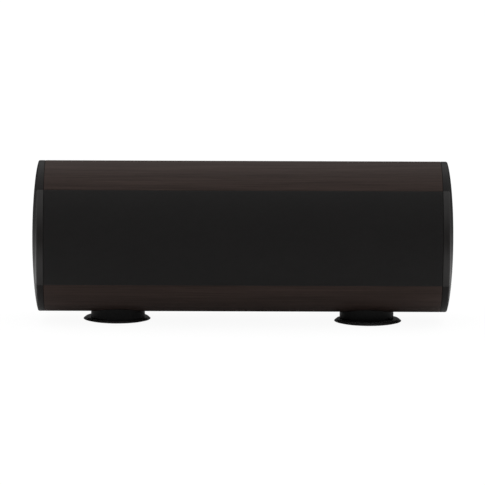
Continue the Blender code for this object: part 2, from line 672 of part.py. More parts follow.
def main():
    clear_scene()
    floor = frame_at("floor_frame", (0, 0, 0), (0, 0, 0))
    # Section frame: local x is back, y is up and z runs along the barrel
    section = frame_at("section_frame", (0, 0, AXIS_Z), (math.radians(90), 0, math.radians(90)))
    # Front frame: local y runs up the baffle and z points out of it
    front = frame_at("front_frame", (0, 0, AXIS_Z), (math.radians(90) - LEAN, 0, 0))
    # Rear frame: seen from behind, x is right, y is up and z points out of the plate
    rear = frame_at("rear_frame", (0, BACK_FLAT_Y + GAP, AXIS_Z), (math.radians(90), 0, math.radians(180)))

    wood = finish("dark wood grain", (0.032, 0.024, 0.020), 0.45)
    board = finish("black board", (0.010, 0.010, 0.010), 0.7)
    cap_plastic = finish("black satin plastic", (0.014, 0.013, 0.013), 0.3)
    frame_plastic = finish("black moulded plastic", (0.012, 0.012, 0.012), 0.5)
    gloss = finish("black gloss plastic", (0.006, 0.006, 0.006), 0.1)
    cloth = finish("black grille cloth", (0.012, 0.012, 0.012), 0.9)
    rubber = finish("black rubber", (0.010, 0.010, 0.010), 0.6)
    steel = finish("bolt steel", (0.55, 0.55, 0.55), 0.3, 1.0)
    copper = finish("copper winding", (0.55, 0.22, 0.09), 0.35, 1.0)
    finishes = {"basket": finish("black steel", (0.014, 0.014, 0.015), 0.45, 0.6),
                "zinc": finish("zinc steel", (0.6, 0.6, 0.6), 0.3, 1.0),
                "ferrite": finish("ferrite", (0.03, 0.03, 0.032), 0.6),
                "cone": finish("coated paper", (0.016, 0.016, 0.018), 0.5),
                "dust cap": finish("dust cap", (0.012, 0.012, 0.012), 0.35),
                "spider": finish("woven spider", (0.55, 0.33, 0.12), 0.85),
                "copper": copper,
                "rubber": rubber}

    make_shell(section, wood, floor)
    make_baffle(front, board)
    make_end_panels(section, board)
    make_brace(section, board)
    make_wadding(section, finish("grey wadding", (0.42, 0.42, 0.40), 0.95))
    make_end_caps(section, cap_plastic)
    make_grille(section, front, frame_plastic, cloth)
    make_woofers(front, finishes)
    make_ports(front, frame_plastic)
    make_amp_plate(rear, finish("black painted steel", (0.012, 0.012, 0.012), 0.5, 0.2))
    make_heat_sink(rear, finish("black anodised alloy", (0.018, 0.018, 0.020), 0.4, 0.8))
    make_knobs(rear, frame_plastic)
    make_slide_switches(rear, frame_plastic, steel)
    make_rocker(rear, frame_plastic)
    make_inlet(rear, frame_plastic, steel)
    make_line_sockets(rear, frame_plastic)
    make_led(rear, finish("green lens", (0.05, 0.5, 0.1), 0.2))
    make_amp_inside(rear, finish("green board", (0.02, 0.12, 0.05), 0.5), copper,
                    finish("capacitor sleeve", (0.02, 0.03, 0.08), 0.35))
    make_leads(rubber)
    make_feet(floor, gloss, rubber, steel)


main()
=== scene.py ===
import json
import math

import bmesh
import bpy
import numpy as np
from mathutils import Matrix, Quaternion, Vector

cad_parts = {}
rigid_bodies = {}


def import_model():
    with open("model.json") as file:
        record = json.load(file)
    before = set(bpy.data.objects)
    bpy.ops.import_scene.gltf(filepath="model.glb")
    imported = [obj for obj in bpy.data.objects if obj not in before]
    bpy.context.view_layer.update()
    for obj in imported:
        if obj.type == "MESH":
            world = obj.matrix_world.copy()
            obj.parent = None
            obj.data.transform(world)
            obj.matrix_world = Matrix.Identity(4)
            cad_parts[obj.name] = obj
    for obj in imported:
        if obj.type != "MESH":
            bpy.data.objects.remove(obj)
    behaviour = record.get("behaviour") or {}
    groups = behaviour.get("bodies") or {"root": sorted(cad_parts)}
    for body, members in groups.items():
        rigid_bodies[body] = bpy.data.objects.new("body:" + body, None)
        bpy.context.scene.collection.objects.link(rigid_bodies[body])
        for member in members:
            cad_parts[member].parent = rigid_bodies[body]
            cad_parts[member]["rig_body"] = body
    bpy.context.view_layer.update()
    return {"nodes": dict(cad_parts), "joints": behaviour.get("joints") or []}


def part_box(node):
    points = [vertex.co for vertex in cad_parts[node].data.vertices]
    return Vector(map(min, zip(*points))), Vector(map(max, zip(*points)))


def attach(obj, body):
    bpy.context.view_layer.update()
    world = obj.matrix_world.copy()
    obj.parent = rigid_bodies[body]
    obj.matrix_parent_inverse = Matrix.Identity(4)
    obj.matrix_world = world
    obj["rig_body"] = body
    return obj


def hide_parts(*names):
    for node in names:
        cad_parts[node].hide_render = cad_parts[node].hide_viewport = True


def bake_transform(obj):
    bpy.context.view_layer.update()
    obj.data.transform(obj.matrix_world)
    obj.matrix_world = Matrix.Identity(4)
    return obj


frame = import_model()
mm = 0.001
jointByName = {joint["name"]: joint for joint in frame["joints"]}

# the barrel's driving sizes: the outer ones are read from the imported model, the rest are the same as there
shellLow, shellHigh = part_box("cabinet_shell")
plateLow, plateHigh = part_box("amp_plate")
barrel = {
    "radius": round((shellHigh.z - shellLow.z) / 2, 3),
    "axisHeight": (plateLow.z + plateHigh.z) / 2,
    "halfLength": shellHigh.x,
    "backFlat": shellHigh.y,
    "wall": 9 * mm,
    "lean": math.atan2(jointByName["grille_pull"]["axis"][2], -jointByName["grille_pull"]["axis"][1]),
    "openingHalf": math.radians(38.55),
    "baffleFront": 88 * mm,
}
sides = (("left", -1), ("right", 1))


# places: arrays in a handy frame, turned into the model's frame

def fromAxis(angle, radius, across):
    # round the barrel: the angle grows from the front up over the top
    angle, radius, across = np.broadcast_arrays(angle, radius, across)
    y = -radius * np.cos(angle)
    z = barrel["axisHeight"] + radius * np.sin(angle)
    return np.stack([across, y, z], axis=-1)


def fromFront(across, up, out):
    # on the leaned-back baffle: up it, and out of it measured from the barrel's axis
    across, up, out = np.broadcast_arrays(across, up, out)
    lean = barrel["lean"]
    y = up * math.sin(lean) - out * math.cos(lean)
    z = barrel["axisHeight"] + up * math.cos(lean) + out * math.sin(lean)
    return np.stack([across, y, z], axis=-1)


def fromRear(right, up, out):
    # on the amplifier plate, seen from behind; out is measured from the plate's inner face
    right, up, out = np.broadcast_arrays(right, up, out)
    return np.stack([-right, plateLow.y + out, barrel["axisHeight"] + up], axis=-1)


def fromFloor(centre, x, y, z):
    x, y, z = np.broadcast_arrays(x, y, z)
    return np.stack([centre[0] + x, centre[1] + y, z], axis=-1)


def onFloor(centre):
    # an upright axis through the centre; heights are measured from the floor
    return lambda x, y, z: fromFloor(centre, x, y, z)


def onBaffle(across, up=0.0):
    # heights are measured forward from the baffle's face
    return lambda x, y, z: fromFront(across + x, up + y, barrel["baffleFront"] + z)


def onRear(right, up):
    return lambda x, y, z: fromRear(right + x, up + y, z)


# meshes

def surface(name, rings, loopClosed=False, capEnds=False, uv=None):
    # rings is an array (rings, points, 3); every ring closes on itself, neighbours join with quads,
    # and a ring shrunk to one place welds into a pole
    count, around = rings.shape[:2]
    index = np.arange(count * around).reshape(count, around)
    here = index if loopClosed else index[:-1]
    there = np.roll(index, -1, axis=0) if loopClosed else index[1:]
    quads = np.stack([here, np.roll(here, -1, 1), np.roll(there, -1, 1), there], axis=-1).reshape(-1, 4)
    faces = quads.tolist()
    if capEnds:
        faces += [index[0].tolist(), index[-1].tolist()]
    mesh = bpy.data.meshes.new(name)
    mesh.from_pydata(rings.reshape(-1, 3).tolist(), [], faces)
    if uv is not None:
        layer = mesh.uv_layers.new(name="flat")
        corners = np.empty(len(mesh.loops), dtype=np.int32)
        mesh.loops.foreach_get("vertex_index", corners)
        layer.data.foreach_set("uv", uv.reshape(-1, 2)[corners].astype(np.float32).ravel())
    return tidyMesh(mesh)


tidying = {
    "weld": 2e-6,      # metres within which new points join
    "weldCopy": 5e-6,  # the same on a copy of a CAD piece
    "sliver": 1e-7,
    "sharp": 32,       # degrees past which an edge stays sharp
}


def shade(mesh, sharpAngle=tidying["sharp"]):
    mesh.shade_smooth()
    mesh.set_sharp_from_angle(angle=math.radians(sharpAngle))
    return mesh


def tidyMesh(mesh):
    # joins points that meet, drops slivers and turns every face outwards
    work = bmesh.new()
    work.from_mesh(mesh)
    bmesh.ops.remove_doubles(work, verts=work.verts[:], dist=tidying["weld"])
    bmesh.ops.dissolve_degenerate(work, edges=work.edges[:], dist=tidying["sliver"])
    bmesh.ops.recalc_face_normals(work, faces=work.faces[:])
    work.to_mesh(mesh)
    work.free()
    return shade(mesh)


def piece(name, mesh, finish, body, slotName, replaced=()):
    item = bpy.data.objects.new(name, mesh)
    bpy.context.scene.collection.objects.link(item)
    mesh.materials.clear()
    mesh.materials.append(finishes[finish])
    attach(item, body)
    if replaced:
        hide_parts(*replaced)
    return item


def softCorners(outline, radius, steps=4):
    # each corner of a closed 2D outline becomes a short curve: (1-t)^2 before + 2t(1-t) corner + t^2 after
    outline = np.asarray(outline, float)
    before = np.roll(outline, 1, axis=0) - outline
    after = np.roll(outline, -1, axis=0) - outline
    lengthBefore = np.linalg.norm(before, axis=1, keepdims=True)
    lengthAfter = np.linalg.norm(after, axis=1, keepdims=True)
    reach = np.minimum(radius, 0.45 * np.minimum(lengthBefore, lengthAfter))
    start = outline + before / lengthBefore * reach
    end = outline + after / lengthAfter * reach
    t = np.linspace(0, 1, steps)[None, :, None]
    curve = (1 - t) ** 2 * start[:, None] + 2 * t * (1 - t) * outline[:, None] + t ** 2 * end[:, None]
    return curve.reshape(-1, 2)


def turnedRings(profile, place, steps=96):
    # profile (radius, height) turned about the local upright: x = r cos a, y = r sin a
    profile = np.asarray(profile, float)
    angle = np.linspace(0, 2 * np.pi, steps, endpoint=False)
    x = profile[:, :1] * np.cos(angle)
    y = profile[:, :1] * np.sin(angle)
    z = np.repeat(profile[:, 1:], steps, axis=1)
    return place(x, y, z)


def barBetween(low, high, radius, place):
    # a rounded rectangle in x and y carried from low z to high z, drawn in by the same radius at its two ends
    rings = []
    for inset, z in ((radius, low[2]), (0, low[2] + radius), (0, high[2] - radius), (radius, high[2])):
        left, near, right, far = low[0] + inset, low[1] + inset, high[0] - inset, high[1] - inset
        flat = softCorners([(left, near), (right, near), (right, far), (left, far)], radius)
        rings.append(place(flat[:, 0], flat[:, 1], np.full(len(flat), z)))
    return np.stack(rings)


def roundPlace(node):
    # the corners of an upright round CAD piece, its centre seen from above, and its radius
    low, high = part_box(node)
    return low, high, ((low.x + high.x) / 2, (low.y + high.y) / 2), (high.x - low.x) / 2


def cutBy(mesh, cutterMesh, operation="DIFFERENCE"):
    # a Boolean between two meshes, applied at once
    target = bpy.data.objects.new("cutTarget", mesh)
    cutter = bpy.data.objects.new("cutTool", cutterMesh)
    for item in (target, cutter):
        bpy.context.scene.collection.objects.link(item)
    step = target.modifiers.new("cut", "BOOLEAN")
    step.operation = operation
    step.object = cutter
    graph = bpy.context.evaluated_depsgraph_get()
    result = bpy.data.meshes.new_from_object(target.evaluated_get(graph))
    for item in (target, cutter):
        bpy.data.objects.remove(item)
    return tidyMesh(result)


bolt = {"hole": 4.3 * mm, "steps": 32}


def drillForBolt(mesh, side, low, high):
    # an upright hole round a foot's bolt, between two heights above the floor
    centre = roundPlace("foot_bolt_" + side)[2]
    profile = [(0, low), (bolt["hole"], low), (bolt["hole"], high), (0, high)]
    return cutBy(mesh, surface("boltHole", turnedRings(profile, onFloor(centre), bolt["steps"])))


def finerCopy(node, finish, slotName, width, name=None):
    # a welded copy of a CAD piece; where a width is given, a small bevel breaks its edges
    source = frame["nodes"][node]
    mesh = source.data.copy()
    work = bmesh.new()
    work.from_mesh(mesh)
    bmesh.ops.remove_doubles(work, verts=work.verts[:], dist=tidying["weldCopy"])
    bmesh.ops.dissolve_limit(work, angle_limit=math.radians(1), verts=work.verts[:], edges=work.edges[:])
    work.to_mesh(mesh)
    work.free()
    item = piece(name or "fine_" + node, shade(mesh), finish, source["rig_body"], slotName, (node,))
    if width == 0:
        return
    edge = item.modifiers.new("brokenEdges", "BEVEL")
    edge.width = width
    edge.segments = 2
    edge.limit_method = "ANGLE"
    edge.angle_limit = math.radians(tidying["sharp"])
    edge.harden_normals = True


# materials

def newFinish(name, colour, roughness, metallic=0.0, specular=0.5):
    material = bpy.data.materials.new(name)
    material.use_nodes = True
    tree = material.node_tree
    shader = tree.nodes["Principled BSDF"]
    shader.inputs["Base Color"].default_value = (*colour, 1.0)
    shader.inputs["Roughness"].default_value = roughness
    shader.inputs["Metallic"].default_value = metallic
    shader.inputs["Specular IOR Level"].default_value = specular
    return material, tree, shader


def coordinates(tree, output="Object"):
    return tree.nodes.new("ShaderNodeTexCoord").outputs[output]


def noiseOver(tree, source, stretch, detail=4.0, rough=0.5, distortion=0.0):
    # noise whose cells are 1/stretch metres along each axis
    mapping = tree.nodes.new("ShaderNodeMapping")
    mapping.inputs["Scale"].default_value = stretch
    noise = tree.nodes.new("ShaderNodeTexNoise")
    noise.inputs["Scale"].default_value = 1.0
    noise.inputs["Detail"].default_value = detail
    noise.inputs["Roughness"].default_value = rough
    noise.inputs["Distortion"].default_value = distortion
    tree.links.new(source, mapping.inputs["Vector"])
    tree.links.new(mapping.outputs["Vector"], noise.inputs["Vector"])
    return noise.outputs["Fac"]


def ramp(tree, fac, stops):
    node = tree.nodes.new("ShaderNodeValToRGB")
    elements = node.color_ramp.elements
    while len(elements) < len(stops):
        elements.new(0.5)
    for element, (place, colour) in zip(elements, stops):
        element.position = place
        element.color = (*colour, 1.0) if len(colour) == 3 else (colour[0],) * 3 + (1.0,)
    tree.links.new(fac, node.inputs["Fac"])
    return node.outputs["Color"]


def math2(tree, operation, first, second=0.0):
    node = tree.nodes.new("ShaderNodeMath")
    node.operation = operation
    for socket, value in zip(node.inputs, (first, second)):
        if isinstance(value, (int, float)):
            socket.default_value = value
        else:
            tree.links.new(value, socket)
    return node.outputs[0]


def multiply(tree, first, second, share=1.0):
    node = tree.nodes.new("ShaderNodeMix")
    node.data_type = "RGBA"
    node.blend_type = "MULTIPLY"
    node.inputs["Factor"].default_value = share
    tree.links.new(first, node.inputs[6])
    tree.links.new(second, node.inputs[7])
    return node.outputs[2]


def bump(tree, shader, height, strength, depth, under=None):
    node = tree.nodes.new("ShaderNodeBump")
    node.inputs["Strength"].default_value = strength
    node.inputs["Distance"].default_value = depth
    tree.links.new(height, node.inputs["Height"])
    if under is not None:
        tree.links.new(under, node.inputs["Normal"])
    tree.links.new(node.outputs["Normal"], shader.inputs["Normal"])
    return node.outputs["Normal"]


def moulded(name, colour, roughness, specular=0.5, grain=900.0, depth=0.02, spread=0.06, metallic=0.0):
    # moulding, paint or rubber: cloudy tone, a roughness that wanders, and a fine grain
    material, tree, shader = newFinish(name, colour, roughness, metallic, specular)
    place = coordinates(tree)
    cloud = noiseOver(tree, place, (14.0, 14.0, 14.0), 5.0, 0.6)
    tone = ramp(tree, cloud, [(0.3, tuple(c * 0.85 for c in colour)), (0.7, tuple(c * 1.15 for c in colour))])
    tree.links.new(tone, shader.inputs["Base Color"])
    patches = noiseOver(tree, place, (45.0, 45.0, 45.0), 3.0, 0.6)
    rough = ramp(tree, patches, [(0.3, (roughness - spread,)), (0.7, (roughness + spread,))])
    tree.links.new(rough, shader.inputs["Roughness"])
    if depth > 0:
        bump(tree, shader, noiseOver(tree, place, (grain,) * 3, 2.0, 0.5), 0.5, depth * mm)
    return material


woodGrain = {
    "dark": (0.0285, 0.0190, 0.0162),
    "middle": (0.0350, 0.0233, 0.0199),
    "light": (0.0435, 0.0290, 0.0248),
    "figure": (3.0, 95.0, 95.0),      # broad figure, cells per metre along and across
    "streaks": (9.0, 520.0, 520.0),   # fine streaks
    "pores": (38.0, 1900.0, 1900.0),  # short open pores
    "streakTone": [(0.32, (0.80,)), (0.62, (1.12,))],
    "poreTone": [(0.33, (0.55,)), (0.42, (1.0,))],
    "roughness": (0.52, 0.64),
    "specular": 0.08,
    "poreDepth": 0.05 * mm,
    "streakDepth": 0.06 * mm,
}


def woodFinish():
    # broad figure, darkened by fine streaks and then by short pores; rougher where the streaks are dark
    low, high = woodGrain["roughness"]
    material, tree, shader = newFinish("darkWoodGrain", woodGrain["middle"], (low + high) / 2, 0.0,
                                       woodGrain["specular"])
    place = coordinates(tree)
    figure = noiseOver(tree, place, woodGrain["figure"], 6.0, 0.62, 0.35)
    stops = ((0.30, "dark"), (0.5, "middle"), (0.72, "light"))
    tone = ramp(tree, figure, [(at, woodGrain[key]) for at, key in stops])
    streaks = noiseOver(tree, place, woodGrain["streaks"], 4.0, 0.6, 0.15)
    streakTone = ramp(tree, streaks, woodGrain["streakTone"])
    pores = noiseOver(tree, place, woodGrain["pores"], 2.0, 0.5)
    poreTone = ramp(tree, pores, woodGrain["poreTone"])
    colour = multiply(tree, multiply(tree, tone, streakTone), poreTone, 0.55)
    tree.links.new(colour, shader.inputs["Base Color"])
    tree.links.new(ramp(tree, streaks, [(0.3, (high,)), (0.7, (low,))]), shader.inputs["Roughness"])
    first = bump(tree, shader, pores, 0.35, woodGrain["poreDepth"])
    bump(tree, shader, streaks, 0.25, woodGrain["streakDepth"], first)
    return material


clothWeave = {
    "pitch": 1.15 * mm,
    "thread": (0.0098, 0.0090, 0.0088),
    "hole": (0.0030, 0.0028, 0.0028),
    "roughness": 0.86,
    "specular": 0.22,
    "sheen": 0.04,
    "lift": 0.35,             # how much a thread rises where it crosses over
    "slub": 0.25,             # how much uneven thread thickness adds
    "depth": 0.22 * mm,
}


def clothFinish():
    # plain weave on the cloth's own flat coordinates: each thread crosses over and under its neighbours
    material, tree, shader = newFinish("grilleWeave", clothWeave["thread"], clothWeave["roughness"],
                                       0.0, clothWeave["specular"])
    flat = tree.nodes.new("ShaderNodeUVMap")
    flat.uv_map = "flat"
    split = tree.nodes.new("ShaderNodeSeparateXYZ")
    tree.links.new(flat.outputs["UV"], split.inputs["Vector"])
    turns = math.pi / clothWeave["pitch"]
    across = math2(tree, "SINE", math2(tree, "MULTIPLY", split.outputs["X"], turns))
    along = math2(tree, "SINE", math2(tree, "MULTIPLY", split.outputs["Y"], turns))
    crossing = math2(tree, "MULTIPLY", across, along)
    warp = math2(tree, "ABSOLUTE", across)
    weft = math2(tree, "ABSOLUTE", along)
    threads = []
    for thread, lift in ((warp, clothWeave["lift"]), (weft, -clothWeave["lift"])):
        rise = math2(tree, "ADD", math2(tree, "MULTIPLY", crossing, lift), 1 - clothWeave["lift"])
        threads.append(math2(tree, "MULTIPLY", thread, rise))
    height = math2(tree, "MAXIMUM", *threads)
    slub = noiseOver(tree, flat.outputs["UV"], (60.0, 900.0, 1.0), 3.0, 0.6)
    height = math2(tree, "ADD", math2(tree, "MULTIPLY", slub, clothWeave["slub"]), height)
    weaveTone = ramp(tree, height, [(0.38, clothWeave["hole"]), (0.72, clothWeave["thread"])])
    cloud = noiseOver(tree, flat.outputs["UV"], (9.0, 9.0, 1.0), 6.0, 0.65)
    cloudTone = ramp(tree, cloud, [(0.3, (0.88,)), (0.7, (1.1,))])
    tree.links.new(multiply(tree, weaveTone, cloudTone), shader.inputs["Base Color"])
    shader.inputs["Sheen Weight"].default_value = clothWeave["sheen"]
    shader.inputs["Sheen Roughness"].default_value = 0.5
    bump(tree, shader, height, 0.6, clothWeave["depth"])
    return material


def paperFinish():
    # pulp cone: short fibres in every direction under a thin coating
    material, tree, shader = newFinish("coatedPulp", (0.016, 0.016, 0.018), 0.5, 0.0, 0.4)
    place = coordinates(tree)
    fibres = noiseOver(tree, place, (500.0, 500.0, 500.0), 5.0, 0.75, 1.2)
    tree.links.new(ramp(tree, fibres, [(0.3, (0.010, 0.010, 0.011)), (0.75, (0.030, 0.030, 0.033))]),
                   shader.inputs["Base Color"])
    bump(tree, shader, fibres, 0.5, 0.12 * mm)
    return material


def metalFinish(name, colour, roughness, stretch=(40.0, 40.0, 900.0)):
    # plated or machined metal: fine drawn lines in its roughness and bump
    material, tree, shader = newFinish(name, colour, roughness, 1.0)
    lines = noiseOver(tree, coordinates(tree), stretch, 3.0, 0.6)
    tree.links.new(ramp(tree, lines, [(0.3, (roughness - 0.08,)), (0.7, (roughness + 0.12,))]),
                   shader.inputs["Roughness"])
    bump(tree, shader, lines, 0.2, 0.02 * mm)
    return material


def fibreFinish(name, dark, light):
    # loose or woven fibres: long twisted strands in tone and bump, with a soft sheen
    material, tree, shader = newFinish(name, light, 0.95, 0.0, 0.2)
    place = coordinates(tree)
    strands = noiseOver(tree, place, (260.0, 260.0, 90.0), 6.0, 0.75, 2.5)
    tree.links.new(ramp(tree, strands, [(0.3, dark), (0.65, light)]), shader.inputs["Base Color"])
    shader.inputs["Sheen Weight"].default_value = 0.3
    bump(tree, shader, strands, 0.8, 0.8 * mm)
    return material


finishes = {
    "wood": woodFinish(),
    "cloth": clothFinish(),
    "cap": moulded("capSatin", (0.0092, 0.0083, 0.0080), 0.46, 0.11, depth=0.0, spread=0.03),
    "trim": moulded("trimSatin", (0.0115, 0.0102, 0.0097), 0.42, 0.29, depth=0.008, spread=0.04),
    "moulding": moulded("mouldedBlack", (0.011, 0.011, 0.011), 0.55, 0.4, depth=0.03),
    "knob": moulded("knobBlack", (0.014, 0.014, 0.014), 0.42, 0.5, grain=1500.0, depth=0.02),
    "gloss": moulded("footGloss", (0.0260, 0.0255, 0.0262), 0.26, 1.0, depth=0.0, spread=0.03),
    # the necks' gloss plastic, much darker than the discs' of the same plastic: painted shade for the barrel's
    # shadow over them
    "neck": moulded("neckSatinPaintedShade", (0.0045, 0.0046, 0.0046), 0.40, 0.14, depth=0.0, spread=0.03),
    "board": moulded("paintedBoard", (0.010, 0.010, 0.010), 0.7, 0.3, grain=500.0, depth=0.08),
    "rubber": moulded("blackRubber", (0.009, 0.009, 0.009), 0.62, 0.4, grain=1200.0, depth=0.02),
    "steel": moulded("coatedSteel", (0.013, 0.013, 0.014), 0.48, 0.5, grain=1400.0, depth=0.03),
    "plate": moulded("plateCoat", (0.012, 0.012, 0.012), 0.52, 0.45, grain=1700.0, depth=0.06),
    "alloy": metalFinish("blackAnodised", (0.020, 0.020, 0.022), 0.42),
    "zinc": metalFinish("zincPlate", (0.58, 0.58, 0.57), 0.32),
    "screw": metalFinish("blackScrew", (0.05, 0.05, 0.055), 0.34),
    "gold": metalFinish("goldPlate", (0.80, 0.56, 0.22), 0.25),
    "copper": metalFinish("copperWinding", (0.52, 0.20, 0.08), 0.38, (900.0, 60.0, 900.0)),
    "ferrite": moulded("ferrite", (0.03, 0.03, 0.032), 0.6, 0.4, grain=700.0, depth=0.08),
    "paper": paperFinish(),
    "dustCap": moulded("dustCapSatin", (0.011, 0.011, 0.012), 0.34, 0.5, depth=0.01),
    "spider": fibreFinish("amberWeave", (0.30, 0.16, 0.05), (0.55, 0.33, 0.12)),
    "wadding": fibreFinish("greyWadding", (0.22, 0.22, 0.21), (0.55, 0.55, 0.52)),
    "circuit": moulded("solderMask", (0.02, 0.12, 0.05), 0.35, 0.5, grain=300.0, depth=0.05),
    "print": moulded("whitePrint", (0.62, 0.62, 0.60), 0.6, 0.3, depth=0.0),
    "red": moulded("redInsert", (0.42, 0.015, 0.012), 0.4, depth=0.0),
    "white": moulded("whiteInsert", (0.7, 0.7, 0.68), 0.4, depth=0.0),
    "lens": moulded("greenLens", (0.04, 0.42, 0.10), 0.15, 0.6, depth=0.0),
}
print("finishes ready:", len(finishes))


# camera, floor and light

view = {
    "azimuth": -0.5,        # degrees round to the left end
    "elevation": 7.8,
    "distance": 7.63,
    "lens": 355.2,
    "roll": 0.27,           # degrees, the right end a touch lower
    "aimBelowAxis": 10.2 * mm,
    "aimRight": -0.2 * mm,
    "sensor": 36.0,
    "farthest": 100.0,
}
studio = {
    "floorWhite": 1.03,     # the floor as the camera sees it, lit evenly from below
    "floorShade": 0.09,     # how much of the soft contact shadow shows
    "floorHalf": 60.0,
    "floorSqueeze": 0.3,    # metres along the object's length count as this much in the two lists below
    # the floor in reflections, bright near the object and dark far off, a painted pool of light: (metres from
    # under the object's middle, brightness painted into the floor's colour)
    "floorLightPool": [(0.0, 0.90), (0.42, 0.80), (0.85, 0.04)],
    # extra light off the floor round the object, little under it
    "floorGlow": [(0.0, 0.07), (0.16, 0.07), (0.24, 0.48), (0.42, 0.40), (0.85, 0.0)],
    # brightness of the room by height: (sine of the elevation, radiance)
    "room": [(0.0, 0.02), (0.12, 0.05), (0.35, 0.18), (0.65, 1.05), (1.0, 1.20)],
    "sidePanels": [(0.0, 0.0), (0.70, 0.0), (0.92, 0.9)],  # the same sideways: a soft panel off each end
    "roomWhite": 1.02,
}


def makeCamera():
    data = bpy.data.cameras.new("productCamera")
    data.lens = view["lens"]
    data.sensor_width = view["sensor"]
    data.clip_end = view["farthest"]
    camera = bpy.data.objects.new("productCamera", data)
    bpy.context.scene.collection.objects.link(camera)
    height = math.radians(view["elevation"])
    turn = math.radians(view["azimuth"])
    target = Vector((view["aimRight"], 0.0, barrel["axisHeight"] - view["aimBelowAxis"]))
    away = Vector((math.cos(height) * math.sin(turn), -math.cos(height) * math.cos(turn), math.sin(height)))
    camera.location = target + away * view["distance"]
    level = (-away).to_track_quat("-Z", "Y")
    camera.rotation_mode = "QUATERNION"
    camera.rotation_quaternion = Quaternion(-away, math.radians(-view["roll"])) @ level
    bpy.context.scene.camera = camera


def cameraSwitch(tree, seen, reflected):
    # one shader for what the camera sees directly, another for reflected and bounced light
    rays = tree.nodes.new("ShaderNodeLightPath")
    mix = tree.nodes.new("ShaderNodeMixShader")
    tree.links.new(rays.outputs["Is Camera Ray"], mix.inputs["Fac"])
    tree.links.new(reflected, mix.inputs[1])
    tree.links.new(seen, mix.inputs[2])
    return mix.outputs["Shader"]


def makeFloor():
    mesh = bpy.data.meshes.new("studioFloor")
    half = studio["floorHalf"]
    corners = [(-half, -half, 0), (half, -half, 0), (half, half, 0), (-half, half, 0)]
    mesh.from_pydata(corners, [], [(0, 1, 2, 3)])
    floor = bpy.data.objects.new("studioFloor", mesh)
    bpy.context.scene.collection.objects.link(floor)
    material, tree, shader = newFinish("paleFloor", (0.8, 0.8, 0.8), 0.9, 0.0, 0.1)
    # distance grows slowly along the object's length, so the pattern is as long as the object
    squeeze = tree.nodes.new("ShaderNodeMapping")
    squeeze.inputs["Scale"].default_value = (studio["floorSqueeze"], 1.0, 1.0)
    span = tree.nodes.new("ShaderNodeVectorMath")
    span.operation = "LENGTH"
    tree.links.new(coordinates(tree), squeeze.inputs["Vector"])
    tree.links.new(squeeze.outputs["Vector"], span.inputs[0])
    farthest = studio["floorLightPool"][-1][0]
    share = math2(tree, "DIVIDE", span.outputs["Value"], farthest)
    # the floor's colour in reflections carries the painted pool of light; its emission is the extra light
    # round the object
    for key, socket in (("floorLightPool", "Base Color"), ("floorGlow", "Emission Color")):
        stops = [(place / farthest, (value,)) for place, value in studio[key]]
        tree.links.new(ramp(tree, share, stops), shader.inputs[socket])
    shader.inputs["Emission Strength"].default_value = 1.0
    glow = tree.nodes.new("ShaderNodeEmission")
    glow.inputs["Strength"].default_value = studio["floorWhite"] * (1 - studio["floorShade"])
    paint = tree.nodes.new("ShaderNodeBsdfDiffuse")
    paint.inputs["Color"].default_value = (studio["floorShade"],) * 3 + (1.0,)
    both = tree.nodes.new("ShaderNodeAddShader")
    tree.links.new(glow.outputs["Emission"], both.inputs[0])
    tree.links.new(paint.outputs["BSDF"], both.inputs[1])
    surfaceOut = cameraSwitch(tree, both.outputs["Shader"], shader.outputs["BSDF"])
    tree.links.new(surfaceOut, tree.nodes["Material Output"].inputs["Surface"])
    mesh.materials.append(material)


def makeRoom():
    world = bpy.data.worlds.new("softStudio")
    world.use_nodes = True
    bpy.context.scene.world = world
    tree = world.node_tree
    light = tree.nodes["Background"]
    split = tree.nodes.new("ShaderNodeSeparateXYZ")
    tree.links.new(coordinates(tree, "Generated"), split.inputs["Vector"])
    brightest = max(value for _, value in studio["room"])
    upward, sideways = split.outputs["Z"], math2(tree, "ABSOLUTE", split.outputs["X"])
    tone, panels = [ramp(tree, fac, [(place, (value / brightest,)) for place, value in studio[key]])
                    for fac, key in ((upward, "room"), (sideways, "sidePanels"))]
    together = tree.nodes.new("ShaderNodeMix")
    together.data_type = "RGBA"
    together.blend_type = "ADD"
    together.inputs["Factor"].default_value = 1.0
    tree.links.new(tone, together.inputs[6])
    tree.links.new(panels, together.inputs[7])
    tree.links.new(together.outputs[2], light.inputs["Color"])
    light.inputs["Strength"].default_value = brightest
    white = tree.nodes.new("ShaderNodeBackground")
    white.inputs["Strength"].default_value = studio["roomWhite"]
    surfaceOut = cameraSwitch(tree, white.outputs["Background"], light.outputs["Background"])
    tree.links.new(surfaceOut, tree.nodes["World Output"].inputs["Surface"])
    bpy.context.scene.view_settings.view_transform = "Standard"


makeCamera()
makeFloor()
makeRoom()
print("stage ready")


# cabinet

shellShape = {
    "edge": 0.7 * mm,        # rounding where the shell ends
    "flatCorner": 3.0 * mm,  # rounding between the round back and its flat
    "step": math.radians(1.0),
    "ampHole": (118 * mm, 52 * mm),
    "ampHoleDepth": (-30 * mm, 8 * mm),
    "ampHoleCorner": 1.5 * mm,
    "boltDepth": (5 * mm, 30 * mm),  # heights above the floor
}


def sectionRadius(angle, radius, flat, soft):
    # the barrel's outline: round, and cut flat at the back with a soft corner (a smooth minimum)
    behind = np.maximum(-np.cos(angle), 1e-3)
    toFlat = flat / behind
    gap = np.clip(0.5 + 0.5 * (toFlat - radius) / soft, 0, 1)
    return toFlat * (1 - gap) + radius * gap - soft * gap * (1 - gap)


def edgeProfile(count=5):
    # a quarter circle: how far in, and how far down, at each step
    t = np.linspace(0, math.pi / 2, count)
    return 1 - np.cos(t), 1 - np.sin(t)


def arcBarRings(angles, outer, inner, low, high, edge):
    # a rounded rectangle (across by radius) carried round the barrel's axis
    count = 4
    side, down = edgeProfile(count)
    side, down = side * edge, down * edge
    across = np.concatenate([low + side, high - side[::-1], high - side, low + side[::-1]])
    outerShare = np.concatenate([np.ones(2 * count), np.zeros(2 * count)])
    drop = np.concatenate([-down, -down[::-1], down, down[::-1]])
    radius = np.outer(outer, outerShare) + np.outer(inner, 1 - outerShare) + drop
    return fromAxis(angles[:, None], radius, across[None, :])


